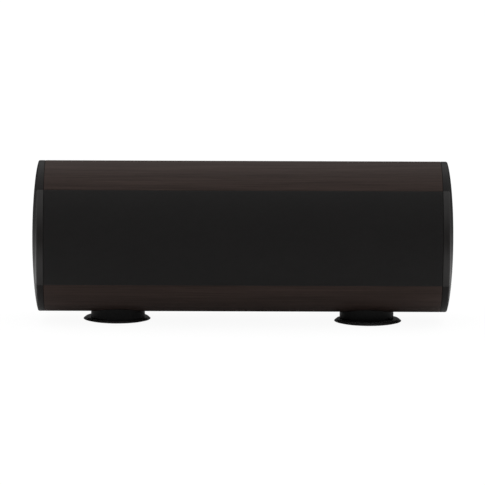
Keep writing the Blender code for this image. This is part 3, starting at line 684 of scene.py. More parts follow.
def roundedEndAngles(low, high, radius, edge, step):
    # angles from low to high, with extra ones that let both ends round over
    side, down = edgeProfile(5)
    start = low + side * edge / radius
    end = high - side[::-1] * edge / radius
    count = int((end[0] - start[-1]) / step)
    middle = np.linspace(start[-1], end[0], count)[1:-1]
    angles = np.concatenate([start, middle, end])
    drop = np.concatenate([down, np.zeros(len(middle)), down[::-1]]) * edge
    return angles, drop


def makeShell():
    radius = barrel["radius"]
    low = barrel["lean"] + barrel["openingHalf"]
    high = 2 * math.pi + barrel["lean"] - barrel["openingHalf"]
    edge = shellShape["edge"]
    angles, drop = roundedEndAngles(low, high, radius, edge, shellShape["step"])
    outer = sectionRadius(angles, radius, barrel["backFlat"], shellShape["flatCorner"]) - drop
    inner = sectionRadius(angles, radius - barrel["wall"], barrel["backFlat"] - barrel["wall"],
                          shellShape["flatCorner"])
    rings = arcBarRings(angles, outer, inner, -barrel["halfLength"], barrel["halfLength"], edge)
    mesh = surface("woodShell", rings, capEnds=True)
    wide, tall = shellShape["ampHole"]
    inner, outer = shellShape["ampHoleDepth"]
    hole = barBetween((-wide, -tall, inner), (wide, tall, outer), shellShape["ampHoleCorner"], fromRear)
    mesh = cutBy(mesh, surface("ampHole", hole, capEnds=True))
    for side, _ in sides:
        mesh = drillForBolt(mesh, side, *shellShape["boltDepth"])
    piece("wood_shell", mesh, "wood", "cabinet", "wood_grain", ("cabinet_shell",))


capShape = {
    "rimEnd": 324.2 * mm,
    "domeRise": 10.5 * mm,
    "domePower": 0.65,
    "wall": 3.5 * mm,
    "land": 14 * mm,         # width of the rim's flat face
    "edge": 0.6 * mm,
    "rimRound": 2.6 * mm,    # rounding between the rim and the dome
    "rebateRadius": 113.4 * mm,
    "rebateGap": math.radians(0.15),   # past the grille's opening at each end
    "rebateStep": math.radians(0.05),
    "steps": 288,
    "domeRings": 30,
}


def domeAt(radius):
    # the dome's x: rim + rise (1 - (r/R)^2)^power
    share = np.clip(1 - (radius / barrel["radius"]) ** 2, 0, 1)
    return capShape["rimEnd"] + capShape["domeRise"] * share ** capShape["domePower"]


def capAngles():
    # even steps, with close pairs where the rebate for the grille's trim starts and stops
    even = np.linspace(0, 2 * np.pi, capShape["steps"], endpoint=False)
    half = barrel["openingHalf"] + capShape["rebateGap"]
    turn = capShape["rebateStep"]
    extra = [(barrel["lean"] + end + step) % (2 * np.pi) for end in (-half, half) for step in (-turn, turn)]
    return np.sort(np.concatenate([even, extra])), half


def makeEndCap(side, sign):
    angles, half = capAngles()
    outline = sectionRadius(angles, barrel["radius"], barrel["backFlat"], shellShape["flatCorner"])
    nearFront = (angles - barrel["lean"] + np.pi) % (2 * np.pi) - np.pi
    inRebate = np.abs(nearFront) < half
    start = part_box("end_cap_right")[0].x
    edge = capShape["edge"]
    along, down = edgeProfile(4)
    radii = [outline - capShape["land"]] + [outline - edge * d for d in down]
    places = [start] + [start + edge * a for a in along]
    # the rim rounds over into the dome: a quarter circle that ends on the dome's surface
    turn = np.linspace(0, np.pi / 2, 7)
    soft = capShape["rimRound"]
    for t in turn:
        radii.append(outline - soft * (1 - np.cos(t)))
        places.append(domeAt(outline - soft) - soft * (1 - np.sin(t)))
    for share in 1 - np.linspace(0, 1, capShape["domeRings"])[:-1] ** 1.8:
        radii.append((outline - soft) * share)
        places.append(domeAt(radii[-1]))
    rings = []
    for r, x in zip(radii, places):
        cut = np.where(inRebate, np.minimum(r, capShape["rebateRadius"]), r)
        x = np.where(cut < r - 1e-9, np.minimum(x, domeAt(cut)), x)
        rings.append(fromAxis(angles, cut, sign * x))
    # then back along the inner face
    rings.append(fromAxis(angles, 0.0, sign * domeAt(0.0)))
    rings.append(fromAxis(angles, 0.0, sign * (domeAt(0.0) - capShape["wall"])))
    for share in (0.35, 0.65):
        r = outline * share
        rings.append(fromAxis(angles, r, sign * (domeAt(r) - capShape["wall"])))
    rings.append(fromAxis(angles, outline - capShape["land"], sign * (capShape["rimEnd"] - 0.3 * mm)))
    mesh = surface("endCap", np.stack(rings), loopClosed=True)
    piece("domed_cap_" + side, mesh, "cap", "cabinet", "satin_plastic", ("end_cap_" + side,))


makeShell()
for sideName, sideSign in sides:
    makeEndCap(sideName, sideSign)
print("cabinet ready")


# grille

grilleShape = {
    "radius": 121.5 * mm,
    "half": math.radians(38.2),
    "clothThick": 0.9 * mm,
    "clothStep": math.radians(1.2),
    "clothEdge": 0.3 * mm,   # how much less the inner face rolls over
    "thinnest": 0.15 * mm,
    "wrap": 1.2 * mm,        # how far the cloth's edges roll over
    "sag": 0.25 * mm,        # how far the stretched cloth dips between ribs
    "ribs": 3.3,             # waves of that dip along the grille
    "columns": 150,
    "trimInner": 114.0 * mm,
    "trimEdge": 0.5 * mm,
    "trimRound": 3.0 * mm,   # the trim's corner, where it wraps onto the dome
    "trimProud": 0.5 * mm,
}


def makeCloth():
    # outer face r = R - sag (between ribs) - a quarter-round drop within the wrap of every edge
    low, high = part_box("grille_cloth")
    radius = grilleShape["radius"]
    wrap = grilleShape["wrap"]
    start = barrel["lean"] - grilleShape["half"]
    end = barrel["lean"] + grilleShape["half"]
    angles, dropAngle = roundedEndAngles(start, end, radius, wrap, grilleShape["clothStep"])
    side, down = edgeProfile(5)
    middle = np.linspace(low.x + wrap, high.x - wrap, grilleShape["columns"])[1:-1]
    across = np.concatenate([low.x + side * wrap, middle, high.x - side[::-1] * wrap])
    dropAcross = np.concatenate([down, np.zeros(len(middle)), down[::-1]]) * wrap
    drop = np.maximum(dropAngle[:, None], dropAcross[None, :])
    share = (angles - start) / (end - start)
    dip = grilleShape["sag"] * np.sin(np.pi * share)[:, None] ** 2
    dip = dip * (0.5 - 0.5 * np.cos(2 * np.pi * across / high.x * grilleShape["ribs"]))[None, :]
    outer = radius - dip - drop
    inner = radius - grilleShape["clothThick"] - dip - np.minimum(drop, wrap - grilleShape["clothEdge"])
    inner = np.minimum(inner, outer - grilleShape["thinnest"])
    front = fromAxis(angles[:, None], outer, across[None, :])
    back = fromAxis(angles[:, None], inner, across[None, :])
    rings = np.concatenate([front, back[:, ::-1]], axis=1)
    # the flat map is in metres, along the barrel and round it, a metre on so that none of it is below zero
    uvFront = np.stack(np.broadcast_arrays(across[None, :] + 1.0, (angles * radius)[:, None] + 1.0), axis=-1)
    uv = np.concatenate([uvFront, uvFront[:, ::-1]], axis=1)
    mesh = closeEnds(surface("grilleCloth", rings, uv=uv))
    cloth = piece("stretched_cloth", mesh, "cloth", "grille", "grille_cloth", ("grille_cloth",))


def closeEnds(mesh):
    # fills the two open ends of the cloth's section, and keeps its rolled edges smooth
    work = bmesh.new()
    work.from_mesh(mesh)
    openEdges = [edge for edge in work.edges if edge.is_boundary]
    bmesh.ops.holes_fill(work, edges=openEdges, sides=0)
    bmesh.ops.recalc_face_normals(work, faces=work.faces[:])
    work.to_mesh(mesh)
    work.free()
    return shade(mesh, 40)


def makeTrim(side, sign):
    # a section in (radius, length) carried round the grille's arc; its ends round over by a small edge
    inside = abs(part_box("grille_trim_" + side)[0 if sign > 0 else 1].x)
    edge = grilleShape["trimEdge"]
    soft = grilleShape["trimRound"]
    radius = grilleShape["radius"]
    top = domeAt(radius - soft) + grilleShape["trimProud"]
    along, down = edgeProfile(4)
    turn = np.linspace(0, np.pi / 2, 9)
    onDome = np.linspace(radius - soft, grilleShape["trimInner"], 4)[1:]
    r = np.concatenate([[grilleShape["trimInner"]], radius - edge * down, radius - soft * (1 - np.cos(turn)),
                        onDome])
    x = np.concatenate([[inside], inside + edge * along, top - soft * (1 - np.sin(turn)),
                        domeAt(onDome) + grilleShape["trimProud"]])
    start = barrel["lean"] - grilleShape["half"]
    end = barrel["lean"] + grilleShape["half"]
    angles, drop = roundedEndAngles(start, end, radius, edge, math.radians(1.0))
    centreR, centreX = r.mean(), x.mean()
    shrink = 1 - drop[:, None] / (radius - grilleShape["trimInner"]) * 2
    across = sign * (centreX + (x - centreX) * shrink)
    rings = fromAxis(angles[:, None], centreR + (r - centreR) * shrink, across)
    mesh = surface("grilleTrim", rings, capEnds=True)
    piece("end_trim_" + side, mesh, "trim", "grille", "satin_plastic", ("grille_trim_" + side,))


makeCloth()
for sideName, sideSign in sides:
    makeTrim(sideName, sideSign)
finerCopy("grille_frame", "moulding", "frame_plastic", 0, "grille_lattice")
print("grille ready")


# feet

footShape = {
    "neckEdge": 0.6 * mm,
    "topRadius": 49.8 * mm,
    "padRadius": 49.5 * mm,
    "web": 2.4 * mm,         # the disc's underside inside its rim
    "discCorner": 0.5 * mm,
    "discHole": 9 * mm,
    "saddleGap": 0.4 * mm,
    "padHole": 30 * mm,
    "grooves": 65,           # four steps to a wave
    "grooveDepth": 0.25 * mm,
    "steps": 160,
}


def makeFootNeck(side):
    # a turned neck whose top is a saddle: height = axis - sqrt((barrel radius + gap)^2 - y^2)
    low, _, centre, radius = roundPlace("foot_neck_" + side)
    edge = footShape["neckEdge"]
    angle = np.linspace(0, 2 * np.pi, footShape["steps"], endpoint=False)
    up, down = edgeProfile(4)
    # rows: (radius, height above the neck's base, or None on the saddle)
    rows = [(bolt["hole"], 0.0)] + [(radius - edge * d, edge * u) for u, d in zip(up, down)]
    rows += [(radius, None), (radius * 0.8, None), (radius * 0.5, None), (bolt["hole"], None)]
    rings = []
    for r, lift in rows:
        x, y = r * np.cos(angle), r * np.sin(angle)
        saddle = barrel["axisHeight"] - np.sqrt((barrel["radius"] + footShape["saddleGap"]) ** 2 - y ** 2)
        rings.append(fromFloor(centre, x, y, saddle if lift is None else np.full_like(x, low.z + lift)))
    mesh = surface("footNeck", np.stack(rings), loopClosed=True)
    # the neck finish is darker than the disc's: painted shade under the barrel
    piece("neck_" + side, mesh, "neck", "cabinet", "gloss_plastic", ("foot_neck_" + side,))


def makeFootDisc(side):
    # a turned disc, hollow underneath within its rim, with every corner of its outline softened
    low, high, centre, radius = roundPlace("foot_disc_" + side)
    steps = 5
    rim = footShape["padRadius"] + 1.2 * mm
    web = footShape["web"]
    outline = [(1 * mm, web), (rim, web), (rim + 0.6 * mm, low.z), (radius - 0.6 * mm, low.z),
               (radius, low.z + 0.6 * mm), (footShape["topRadius"], high.z - 0.2 * mm),
               (footShape["topRadius"] - 1.4 * mm, high.z), (1 * mm, high.z)]
    soft = softCorners(outline, footShape["discCorner"], steps)
    profile = np.concatenate([[(0, web)], soft[steps:-steps], [(0, high.z)]])
    mesh = surface("footDisc", turnedRings(profile, onFloor(centre), footShape["steps"]))
    mesh = drillForBolt(mesh, side, 0, footShape["discHole"])
    piece("disc_" + side, mesh, "gloss", "foot_" + side, "gloss_plastic", ("foot_disc_" + side,))


def makeFootPad(side):
    # a ring with fine concentric grip grooves underneath: their depth follows a cosine
    _, high, centre, radius = roundPlace("foot_pad_" + side)
    hole, count = footShape["padHole"], footShape["grooves"]
    places = np.linspace(hole + 1 * mm, radius - 1.5 * mm, count)
    depth = footShape["grooveDepth"] * (0.5 - 0.5 * np.cos(np.arange(count) * np.pi / 2))
    profile = np.concatenate([[(hole, high.z), (hole, 0.3 * mm)], np.stack([places, depth], axis=-1),
                              [(radius - 0.6 * mm, 0.0), (radius, 0.5 * mm), (radius, high.z)]])
    mesh = surface("footPad", turnedRings(profile, onFloor(centre), 96), loopClosed=True)
    piece("pad_" + side, mesh, "rubber", "foot_" + side, "rubber", ("foot_pad_" + side,))


for sideName, _ in sides:
    makeFootNeck(sideName)
    makeFootDisc(sideName)
    makeFootPad(sideName)
print("feet ready")


# woofers and ports

wooferShape = {
    "across": 95 * mm,
    "screwCircle": 60.5 * mm,
    "steps": 144,
    "coilSteps": 96,
    "windows": 6,            # openings through the basket's side
    # outlines are (radius, height forward from the baffle) in mm
    "basket": [(64, 0.3), (64, 2.8), (63.6, 3.2), (53.2, 3.2), (52.8, 2.6), (51, -11), (33, -28.5),
               (21, -28.5), (21, -30.5), (34.5, -30.5), (53.5, -12.5), (54.5, 0.3)],
    "window": ((34 * mm, -13 * mm, -25 * mm), (70 * mm, 13 * mm, -13.5 * mm), 1.5 * mm),
    "topPlate": [(14.5, -30.8), (37.5, -30.8), (38, -31.3), (38, -36.0), (37.5, -36.5), (14.5, -36.5)],
    "magnet": [(22, -36.8), (40, -36.8), (41, -37.8), (41, -50), (40, -51), (22, -51)],
    "cone": [(47, 2.6), (47, 3.4), (44, 2.3), (30, -6.6), (14.4, -17.4), (14.4, -18.4), (30.4, -7.6),
             (44, 1.5)],
    "dustCap": [(0, -7.2), (5, -7.55), (9, -8.4), (12.4, -9.7), (15, -11.4), (17, -13.3), (17.8, -14.4),
                (16.8, -14.4), (15.6, -12.8), (12, -10.5), (9, -9.2), (5, -8.35), (0, -8)],
    "coil": [(13, -17.8), (14, -17.8), (14, -38), (13, -38)],
    "gasket": [(57.4, 4.8), (57.4, 6.0), (57.8, 6.2), (63.2, 6.2), (63.6, 5.9), (63.6, 4.8)],
    # still and moving are radii on each soft ring, near its outer and its inner lip
    "surround": {"inner": 47.6, "outer": 56.0, "base": 3.7, "thick": 0.7, "lipIn": 44.1, "lipOut": 60.0,
                 "wedges": 12, "still": 55.0, "moving": 48.5},
    "spider": {"inner": 14.4, "outer": 35.8, "height": -22.6, "wave": 0.648, "thick": 0.5, "waves": 4.5,
               "wedges": 8, "still": 33.0, "moving": 16.0},
}

screwShape = {
    "socket": 1.3 * mm,
    "steps": 24,
    "head": [(0.98, 0.0), (1.0, 0.25), (0.9, 0.72), (0.66, 1.0)],  # shares of the head's radius and height
    "recess": [(1.0, 1.0), (0.97, 0.25), (0.0, 0.2)],              # shares of the socket's radius, the height
}


def screwRings(radius, height):
    # a domed head with a hexagonal socket: the socket's radius is apothem / cos(angle within a side)
    angle = np.linspace(0, 2 * np.pi, screwShape["steps"], endpoint=False)
    hexagon = screwShape["socket"] / np.cos(angle % (np.pi / 3) - np.pi / 6)
    rows = [(radius * share + 0 * angle, height * rise) for share, rise in screwShape["head"]]
    rows += [(hexagon * share, height * rise) for share, rise in screwShape["recess"]]
    x = np.stack([r * np.cos(angle) for r, _ in rows])
    y = np.stack([r * np.sin(angle) for r, _ in rows])
    return x, y, np.stack([0 * angle + z for _, z in rows])


def screwHeads(name, centres, place, base, radius, height):
    parts = bmesh.new()
    for across, up in centres:
        x, y, z = screwRings(radius, height)
        rings = place(across + x, up + y, base + z)
        bottom = place(across + 0 * x[:1], up + 0 * y[:1], base + 0 * z[:1])
        mesh = surface("screwHead", np.concatenate([bottom, rings]))
        parts.from_mesh(mesh)
        bpy.data.meshes.remove(mesh)
    heads = bpy.data.meshes.new("screwHeads")
    parts.to_mesh(heads)
    parts.free()
    piece(name, shade(heads), "screw", "cabinet", "black_steel")


def ringOf(count, radius, turn):
    # places evenly round a circle
    angle = np.arange(count) * 2 * np.pi / count + turn
    return np.stack([radius * np.cos(angle), radius * np.sin(angle)], axis=-1)


def rollProfile():
    # outer face: lip, half circle of the roll's radius, lip; underneath, a half circle one thickness smaller
    roll = wooferShape["surround"]
    middle, radius = (roll["inner"] + roll["outer"]) / 2, (roll["outer"] - roll["inner"]) / 2
    turn = np.linspace(np.pi, 0, 17)
    base, top, thin = roll["base"], roll["base"] + roll["thick"], radius - roll["thick"]
    over = np.stack([middle + radius * np.cos(turn), top + radius * np.sin(turn)], axis=-1)
    under = np.stack([middle + thin * np.cos(turn[::-1]), top + thin * np.sin(turn[::-1])], axis=-1)
    lip = [(roll["lipOut"], top), (roll["lipOut"], base), (middle + thin, base)]
    return np.concatenate([[(roll["lipIn"], base), (roll["lipIn"], top)], over, lip, under,
                           [(middle - thin, base)]]) * mm


def spiderProfile():
    # height = middle + wave sin(2 pi waves share) sin(pi share)^0.4, so it is flat at both lips
    shape = wooferShape["spider"]
    r = np.linspace(shape["inner"], shape["outer"], 61)
    share = (r - shape["inner"]) / (shape["outer"] - shape["inner"])
    lift = shape["wave"] * np.sin(2 * np.pi * shape["waves"] * share) * np.sin(np.pi * share) ** 0.4
    over = np.stack([r, shape["height"] + lift + shape["thick"] / 2], axis=-1)
    under = np.stack([r, shape["height"] + lift - shape["thick"] / 2], axis=-1)
    return np.concatenate([over, under[::-1]]) * mm


def blendWedges(name, profile, place, side, finish):
    # a soft ring in wedges; each wedge's places at the still and moving radii are worked out but not used
    shape = wooferShape[name]
    wedge = 2 * np.pi / shape["wedges"]
    for number in range(shape["wedges"]):
        start = wedge * number
        angle = np.linspace(start, start + wedge, 13)
        rings = place(np.outer(np.cos(angle), profile[:, 0]), np.outer(np.sin(angle), profile[:, 0]),
                      np.tile(profile[:, 1], (len(angle), 1)))
        mesh = surface(name, rings, capEnds=True)
        item = bpy.data.objects.new("%s_%s_%02d" % (name, side, number + 1), mesh)
        bpy.context.scene.collection.objects.link(item)
        mesh.materials.append(finishes[finish])
        middle = start + wedge / 2
        ends = [place(r * mm * np.cos(middle), r * mm * np.sin(middle), profile[0, 1])
                for r in (shape["still"], shape["moving"])]
        still, moving = [tuple(map(float, end)) for end in ends]
        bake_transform(item)
        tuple(still)
        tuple(moving)
        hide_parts("woofer_%s_%s" % (name, side))


def turnedPiece(name, profile, place, finish, slotName, node=None, body="cabinet", steps=wooferShape["steps"]):
    # an outline turned about the local upright; one that starts on the axis ends there too
    rings = turnedRings(np.asarray(profile, float) * mm, place, steps)
    mesh = surface(name, rings, loopClosed=profile[0][0] > 0)
    return piece(name, mesh, finish, body, slotName, (node,) if node else ())


def makeBasket(side, place):
    mesh = surface("basket", turnedRings(np.array(wooferShape["basket"]) * mm, place, wooferShape["steps"]),
                   loopClosed=True)
    for number in range(wooferShape["windows"]):
        turn = 2 * np.pi * (number + 0.5) / wooferShape["windows"]

        def turnedPlace(x, y, z, turn=turn):
            return place(x * math.cos(turn) - y * math.sin(turn), x * math.sin(turn) + y * math.cos(turn), z)
        window = barBetween(*wooferShape["window"], turnedPlace)
        mesh = cutBy(mesh, surface("basketWindow", window, capEnds=True))
    piece("basket_" + side, mesh, "steel", "cabinet", "black_steel", ("woofer_basket_" + side,))


# a woofer's turned pieces: name, outline, finish, slot, the CAD piece it stands for, what it rides on
turnedPieces = (
    ("top_plate_", "topPlate", "zinc", "zinc_steel", "woofer_top_plate_", "cabinet"),
    ("magnet_", "magnet", "ferrite", "ferrite", "woofer_magnet_", "cabinet"),
    ("cone_body_", "cone", "paper", "cone_paper", "woofer_cone_", "cone_"),
    ("dust_dome_", "dustCap", "dustCap", "dust_cap", "woofer_dust_cap_", "cone_"),
    ("voice_coil_", "coil", "copper", "copper_winding", "woofer_voice_coil_", "cone_"),
    ("frame_gasket_", "gasket", "rubber", "rubber", "woofer_gasket_", "cabinet"),
)


def makeWoofer(side, sign):
    place = onBaffle(sign * wooferShape["across"])
    makeBasket(side, place)
    for name, outline, finish, slotName, node, body in turnedPieces:
        rides = body + side if body == "cone_" else body
        steps = wooferShape["coilSteps" if outline == "coil" else "steps"]
        turnedPiece(name + side, wooferShape[outline], place, finish, slotName, node + side, rides, steps)
    blendWedges("surround", rollProfile(), place, side, "rubber")
    blendWedges("spider", spiderProfile(), place, side, "spider")
    screwHeads("woofer_screws_" + side, ringOf(6, wooferShape["screwCircle"], 0.3), place, 6.25 * mm,
               3.0 * mm, 1.7 * mm)


portShape = {
    "across": 235 * mm,
    "flareRadius": 9,        # bell mouth rounding, and what follows, in mm
    "bore": 22,
    "tube": 24.5,
    "depth": 110,
}


def makePort(side, sign):
    # a straight tube whose mouth flares as a quarter circle
    place = onBaffle(sign * portShape["across"])
    turn = np.linspace(0, np.pi / 2, 12)
    flare, bore, tube, depth = (portShape[key] for key in ("flareRadius", "bore", "tube", "depth"))
    mouth = np.stack([bore + flare * (1 - np.cos(turn)), 3.0 - flare * (1 - np.sin(turn))], axis=-1)
    profile = np.concatenate([[(tube, -depth), (bore + 0.3, -depth), (bore, 0.4 - depth)], mouth,
                              [(34.6, 3.0), (35, 2.6), (35, 0.3), (tube, 0.3)]])
    turnedPiece("port_" + side, profile, place, "moulding", "frame_plastic", "port_tube_" + side, steps=128)


def makePegCups():
    # rubber cups that hold the grille's pegs, set round the holes in the baffle
    cup = [(4.35, 0.2), (4.35, 1.3), (4.8, 1.7), (6.4, 1.7), (7.2, 0.9), (7.2, 0.2)]
    for across in (-180, 180):
        for up in (-45, 45):
            name = "peg_cup_%s_%s" % ("left" if across < 0 else "right", "low" if up < 0 else "high")
            turnedPiece(name, cup, onBaffle(across * mm, up * mm), "rubber", "rubber", steps=48)


for sideName, sideSign in sides:
    makeWoofer(sideName, sideSign)
    makePort(sideName, sideSign)
makePegCups()
print("woofers and ports ready")


# amplifier panel on the back; places are in mm, seen from behind

panel = {
    "face": 2.5,
    "screws": [(x, y) for x in (-123, 0, 123) for y in (-57, 57)] + [(-123, 0), (123, 0)],
    "level": (96, 30),
    "crossover": (56, 30),
    "knobRadius": 9.0,
    "knobBase": 3.3,
    "knobTop": 16.3,
    "flutes": 28,
    "fluteDepth": 0.55,
    "ticks": 11,
    "sweep": 300,            # degrees from the first tick to the last
    "tickFrom": 11.4,
    "tickTo": 13.6,
    "tickLonger": 0.9,       # at the two ends and the middle
    "sockets": (76, -40),
    "led": (22, 44),
}


def onPanel(at, right=0.0, up=0.0):
    return onRear((at[0] + right) * mm, (at[1] + up) * mm)


def makeKnob(name):
    # radius follows the height, less a flute depth that swings with cos(flutes x angle)
    place = onPanel(panel[name])
    angle = np.linspace(0, 2 * np.pi, panel["flutes"] * 8, endpoint=False)
    wave = 0.5 - 0.5 * np.cos(panel["flutes"] * angle)
    base, top, radius = panel["knobBase"], panel["knobTop"], panel["knobRadius"]
    # rows: (radius, height, share of the flute's depth)
    rows = [(0, -6, 0), (2.8, -6, 0), (3, -5.8, 0), (3, base, 0), (radius - 0.4, base, 0),
            (radius, base + 0.4, 0), (radius, base + 1.6, 0), (radius - 0.15, base + 2.2, 1),
            (radius - 0.85, top - 1.4, 1), (radius - 1.0, top - 0.7, 0.3), (radius - 1.5, top - 0.15, 0),
            (radius - 2.1, top, 0), (radius - 2.6, top - 0.25, 0), (0, top - 0.4, 0)]
    rings = []
    for r, height, share in rows:
        flute = r - panel["fluteDepth"] * share * wave
        rings.append(place(flute * mm * np.cos(angle), flute * mm * np.sin(angle), angle * 0 + height * mm))
    mesh = surface("knob", np.stack(rings))
    body = name + "_knob"
    piece("fluted_" + body, mesh, "knob", body, "knob_plastic", (body,))
    low = (-0.55 * mm, 2.4 * mm, (top - 0.6) * mm)
    high = (0.55 * mm, (radius - 1.2) * mm, (top - 0.02) * mm)
    line = surface("pointer", barBetween(low, high, 0.15 * mm, place), capEnds=True)
    piece(name + "_pointer", line, "print", body, None)


printShape = {
    "low": 0.01 * mm,        # how far the marks' undersides stand off the panel's face
    "high": 0.06 * mm,
    "corner": 0.02 * mm,
    "middle": 0.04 * mm,     # the same for the middle of a word's thickness
    "half": 0.025 * mm,
}


def makePrint(name, blocks, words):
    # marks a hair proud of the panel: (place, low, high) blocks and (text, size, right, up) words
    parts = bmesh.new()
    face = panel["face"] * mm
    low, high = face + printShape["low"], face + printShape["high"]
    for place, corner, opposite in blocks:
        rings = barBetween((*corner, low), (*opposite, high), printShape["corner"], place)
        parts.from_mesh(surface("mark", rings, capEnds=True))
    for text, size, right, up in words:
        curve = bpy.data.curves.new("word", "FONT")
        curve.body = text
        curve.size = size * mm
        curve.align_x = "CENTER"
        curve.align_y = "CENTER"
        curve.extrude = printShape["half"]
        curve.resolution_u = 3
        item = bpy.data.objects.new("word", curve)
        bpy.context.scene.collection.objects.link(item)
        mesh = bpy.data.meshes.new_from_object(item)
        bpy.data.objects.remove(item)
        flat = np.empty(len(mesh.vertices) * 3)
        mesh.vertices.foreach_get("co", flat)
        flat = flat.reshape(-1, 3)
        out = face + printShape["middle"] + flat[:, 2]
        placed = fromRear(right * mm + flat[:, 0], up * mm + flat[:, 1], out)
        mesh.vertices.foreach_set("co", placed.ravel())
        parts.from_mesh(mesh)
    marks = bpy.data.meshes.new(name)
    parts.to_mesh(marks)
    parts.free()
    piece(name, tidyMesh(marks), "print", "cabinet", None)


def dialTicks(at):
    # ticks round a dial, evenly over its sweep and longer at the two ends and the middle
    blocks = []
    last = panel["ticks"] - 1
    for number in range(panel["ticks"]):
        turn = math.radians(panel["sweep"] * (number / last - 0.5))

        def place(x, y, z, turn=turn, at=at):
            return fromRear(at[0] * mm + x * math.cos(turn) + y * math.sin(turn),
                            at[1] * mm - x * math.sin(turn) + y * math.cos(turn), z)
        reach = panel["tickTo"] + (panel["tickLonger"] if number in (0, last // 2, last) else 0.0)
        blocks.append((place, (-0.2 * mm, panel["tickFrom"] * mm), (0.2 * mm, reach * mm)))
    return blocks


# outlines of the line sockets and the lamp: (radius, height) in mm
socketShape = {
    "shell": [(2.9, 4.7), (4.1, 4.7), (4.1, 7.0), (3.9, 7.15), (4.1, 7.3), (4.1, 12.1), (3.8, 12.5),
              (3.2, 12.5), (2.9, 12.2)],
    "collar": [(4.3, 4.65), (6.3, 4.65), (6.3, 5.4), (5.9, 5.7), (4.3, 5.7)],
    "insert": [(1.7, 4.9), (2.7, 4.9), (2.7, 11.6), (2.4, 11.9), (1.9, 11.9), (1.7, 11.7)],
    "bezel": [(2.5, 2.55), (3.8, 2.55), (3.8, 2.9), (3.4, 3.3), (2.7, 3.3), (2.5, 3.1)],
}


def makeSockets():
    at = panel["sockets"]
    flange = barBetween((-26 * mm, -11 * mm, 2.8 * mm), (26 * mm, 11 * mm, 4.6 * mm), 0.5 * mm, onPanel(at))
    mesh = surface("socketFlange", flange, capEnds=True)
    back = barBetween((-22 * mm, -8 * mm, -10 * mm), (22 * mm, 8 * mm, 3.4 * mm), 0.5 * mm, onPanel(at))
    mesh = cutBy(mesh, surface("socketBlock", back, capEnds=True), "UNION")
    piece("socket_block", mesh, "moulding", "cabinet", "frame_plastic", ("line_sockets",))
    for name, right, colour in (("left", -12, "white"), ("right", 12, "red")):
        for part, finish, steps in (("shell", "gold", 72), ("collar", colour, 72), ("insert", colour, 48)):
            turnedPiece("socket_%s_%s" % (part, name), socketShape[part], onPanel(at, right), finish, None,
                        steps=steps)


def makeLed():
    # the lens is a short post under a quarter ellipse
    place = onPanel(panel["led"])
    rise = np.linspace(0, np.pi / 2, 8)
    dome = np.stack([2.3 * np.cos(rise), 3.3 + 1.6 * np.sin(rise)], axis=-1)
    dome[-1, 0] = 0
    profile = np.concatenate([[(0, -4), (2.3, -4)], dome])
    turnedPiece("lamp_lens", profile, place, "lens", "led_lens", "status_led", steps=48)
    turnedPiece("lamp_bezel", socketShape["bezel"], place, "zinc", "zinc_steel", steps=48)


for knobName in ("level", "crossover"):
    makeKnob(knobName)
screwHeads("panel_screws", np.array(panel["screws"]) * mm, onRear(0.0, 0.0), panel["face"] * mm + 0.05 * mm,
           3.2 * mm, 1.6 * mm)
# numbers under the dials, and beside the switches below them: (dial, text, size, right, up from the dial)
dialNumbers = (
    ("level", "0", 3.2, -8.6, -14.2), ("level", "10", 3.2, 9.2, -14.2),
    ("crossover", "40", 3.2, -8.8, -14.2), ("crossover", "160", 3.2, 9.4, -14.2),
    ("level", "0", 2.8, -12.5, -36), ("level", "180", 2.8, 13.5, -36),
    ("crossover", "1", 2.8, -12, -36), ("crossover", "2", 2.8, 12, -36),
)
words = [(text, size, panel[dial][0] + right, panel[dial][1] + up)
         for dial, text, size, right, up in dialNumbers]
makePrint("panel_marks", dialTicks(panel["level"]) + dialTicks(panel["crossover"]), words)
makeSockets()
makeLed()
# pieces that keep the CAD shape: (node, finish, slot, width of the broken edges in mm, name)
panelCopies = [("amp_plate", "plate", "plate_metal", 0.5, "panel_plate"),
               ("heat_sink", "alloy", "black_alloy", 0.25, "finned_heat_sink"),
               ("rocker_housing", "moulding", "frame_plastic", 0.4, "rocker_frame"),
               ("power_rocker", "gloss", "gloss_plastic", 0.35, "rocker_key"),
               ("mains_inlet", "moulding", "frame_plastic", 0.4, "power_inlet")]
for switchName in ("phase", "mode"):
    panelCopies.append((switchName + "_switch_body", "zinc", "zinc_steel", 0.25, None))
    panelCopies.append((switchName + "_switch_slider", "knob", "knob_plastic", 0.3, None))
for node, finish, slotName, width, name in panelCopies:
    finerCopy(node, finish, slotName, width * mm, name)
print("amplifier panel ready")


# inside the cabinet

padShape = {
    "across": 28,        # grid lines
    "along": 36,
    "roundOff": 0.42,    # how far the square grid is rounded towards an ellipse, to fit the round cabinet
    "rim": 0.32,         # thickness left at the edge, as a share
    "quilt": 0.16,       # depth of the quilting dips, as a share
    "quiltAcross": 9,
    "quiltAlong": 12,
}


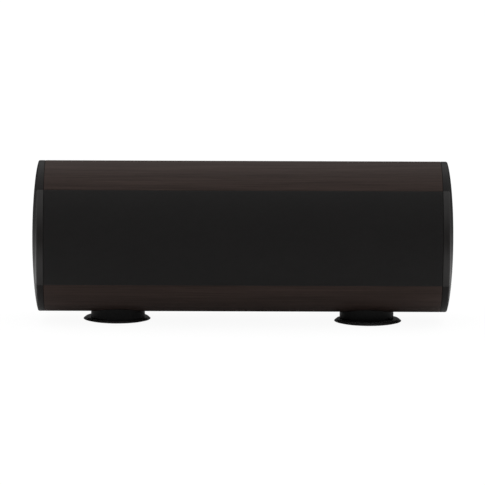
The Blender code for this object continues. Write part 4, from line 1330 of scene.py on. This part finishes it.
def makeWadding(side):
    # a crowned slab: its face rises by half (rim + (1 - rim) sqrt((1 - u^4)(1 - v^4))) over its middle,
    # less the quilting's dips, a cosine each way
    low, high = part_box("damping_pad_" + side)
    gridU, gridV = np.meshgrid(np.linspace(-1, 1, padShape["across"]), np.linspace(-1, 1, padShape["along"]))
    middle, halfSize = (low + high) / 2, (high - low) / 2
    y = middle.y + halfSize.y * gridU * np.sqrt(1 - padShape["roundOff"] * gridV ** 2)
    z = middle.z + halfSize.z * gridV * np.sqrt(1 - padShape["roundOff"] * gridU ** 2)
    crown = np.sqrt((1 - gridU ** 4) * (1 - gridV ** 4))
    dips = 0.5 + 0.5 * np.cos(gridU * padShape["quiltAcross"])
    dips = dips * (0.5 + 0.5 * np.cos(gridV * padShape["quiltAlong"]))
    thick = halfSize.x * (padShape["rim"] + (1 - padShape["rim"]) * crown) * (1 - padShape["quilt"] * dips)
    over = np.stack([middle.x + thick, y, z], axis=-1)
    under = np.stack([low.x + 0 * thick, y, z], axis=-1)
    index = np.arange(gridU.size).reshape(gridU.shape)
    quads = np.stack([index[:-1, :-1], index[:-1, 1:], index[1:, 1:], index[1:, :-1]], axis=-1).reshape(-1, 4)
    edge = np.concatenate([index[0, :-1], index[:-1, -1], index[-1, :0:-1], index[:0:-1, 0]])
    after = np.roll(edge, -1)
    shift = gridU.size
    walls = np.stack([edge, after, after + shift, edge + shift], axis=-1)
    mesh = bpy.data.meshes.new("wadding")
    points = np.concatenate([over.reshape(-1, 3), under.reshape(-1, 3)])
    mesh.from_pydata(points.tolist(), [], np.concatenate([quads, quads + shift, walls]).tolist())
    pad = piece("wadding_" + side, tidyMesh(mesh), "wadding", "cabinet", "wadding", ("damping_pad_" + side,))


for sideName, _ in sides:
    makeWadding(sideName)

# every CAD piece that still shows takes its finish here
keptFinishes = {
    "front_baffle": "board", "cabinet_brace": "board", "end_panel": "board", "woofer_yoke": "zinc",
    "woofer_lead": "rubber", "foot_bolt": "zinc", "amp_board": "circuit", "mains_transformer": "copper",
}
for nodeName, node in frame["nodes"].items():
    for start, finish in keptFinishes.items():
        if nodeName.startswith(start):
            node.data.materials.clear()
            node.data.materials.append(finishes[finish])
print("inside ready")
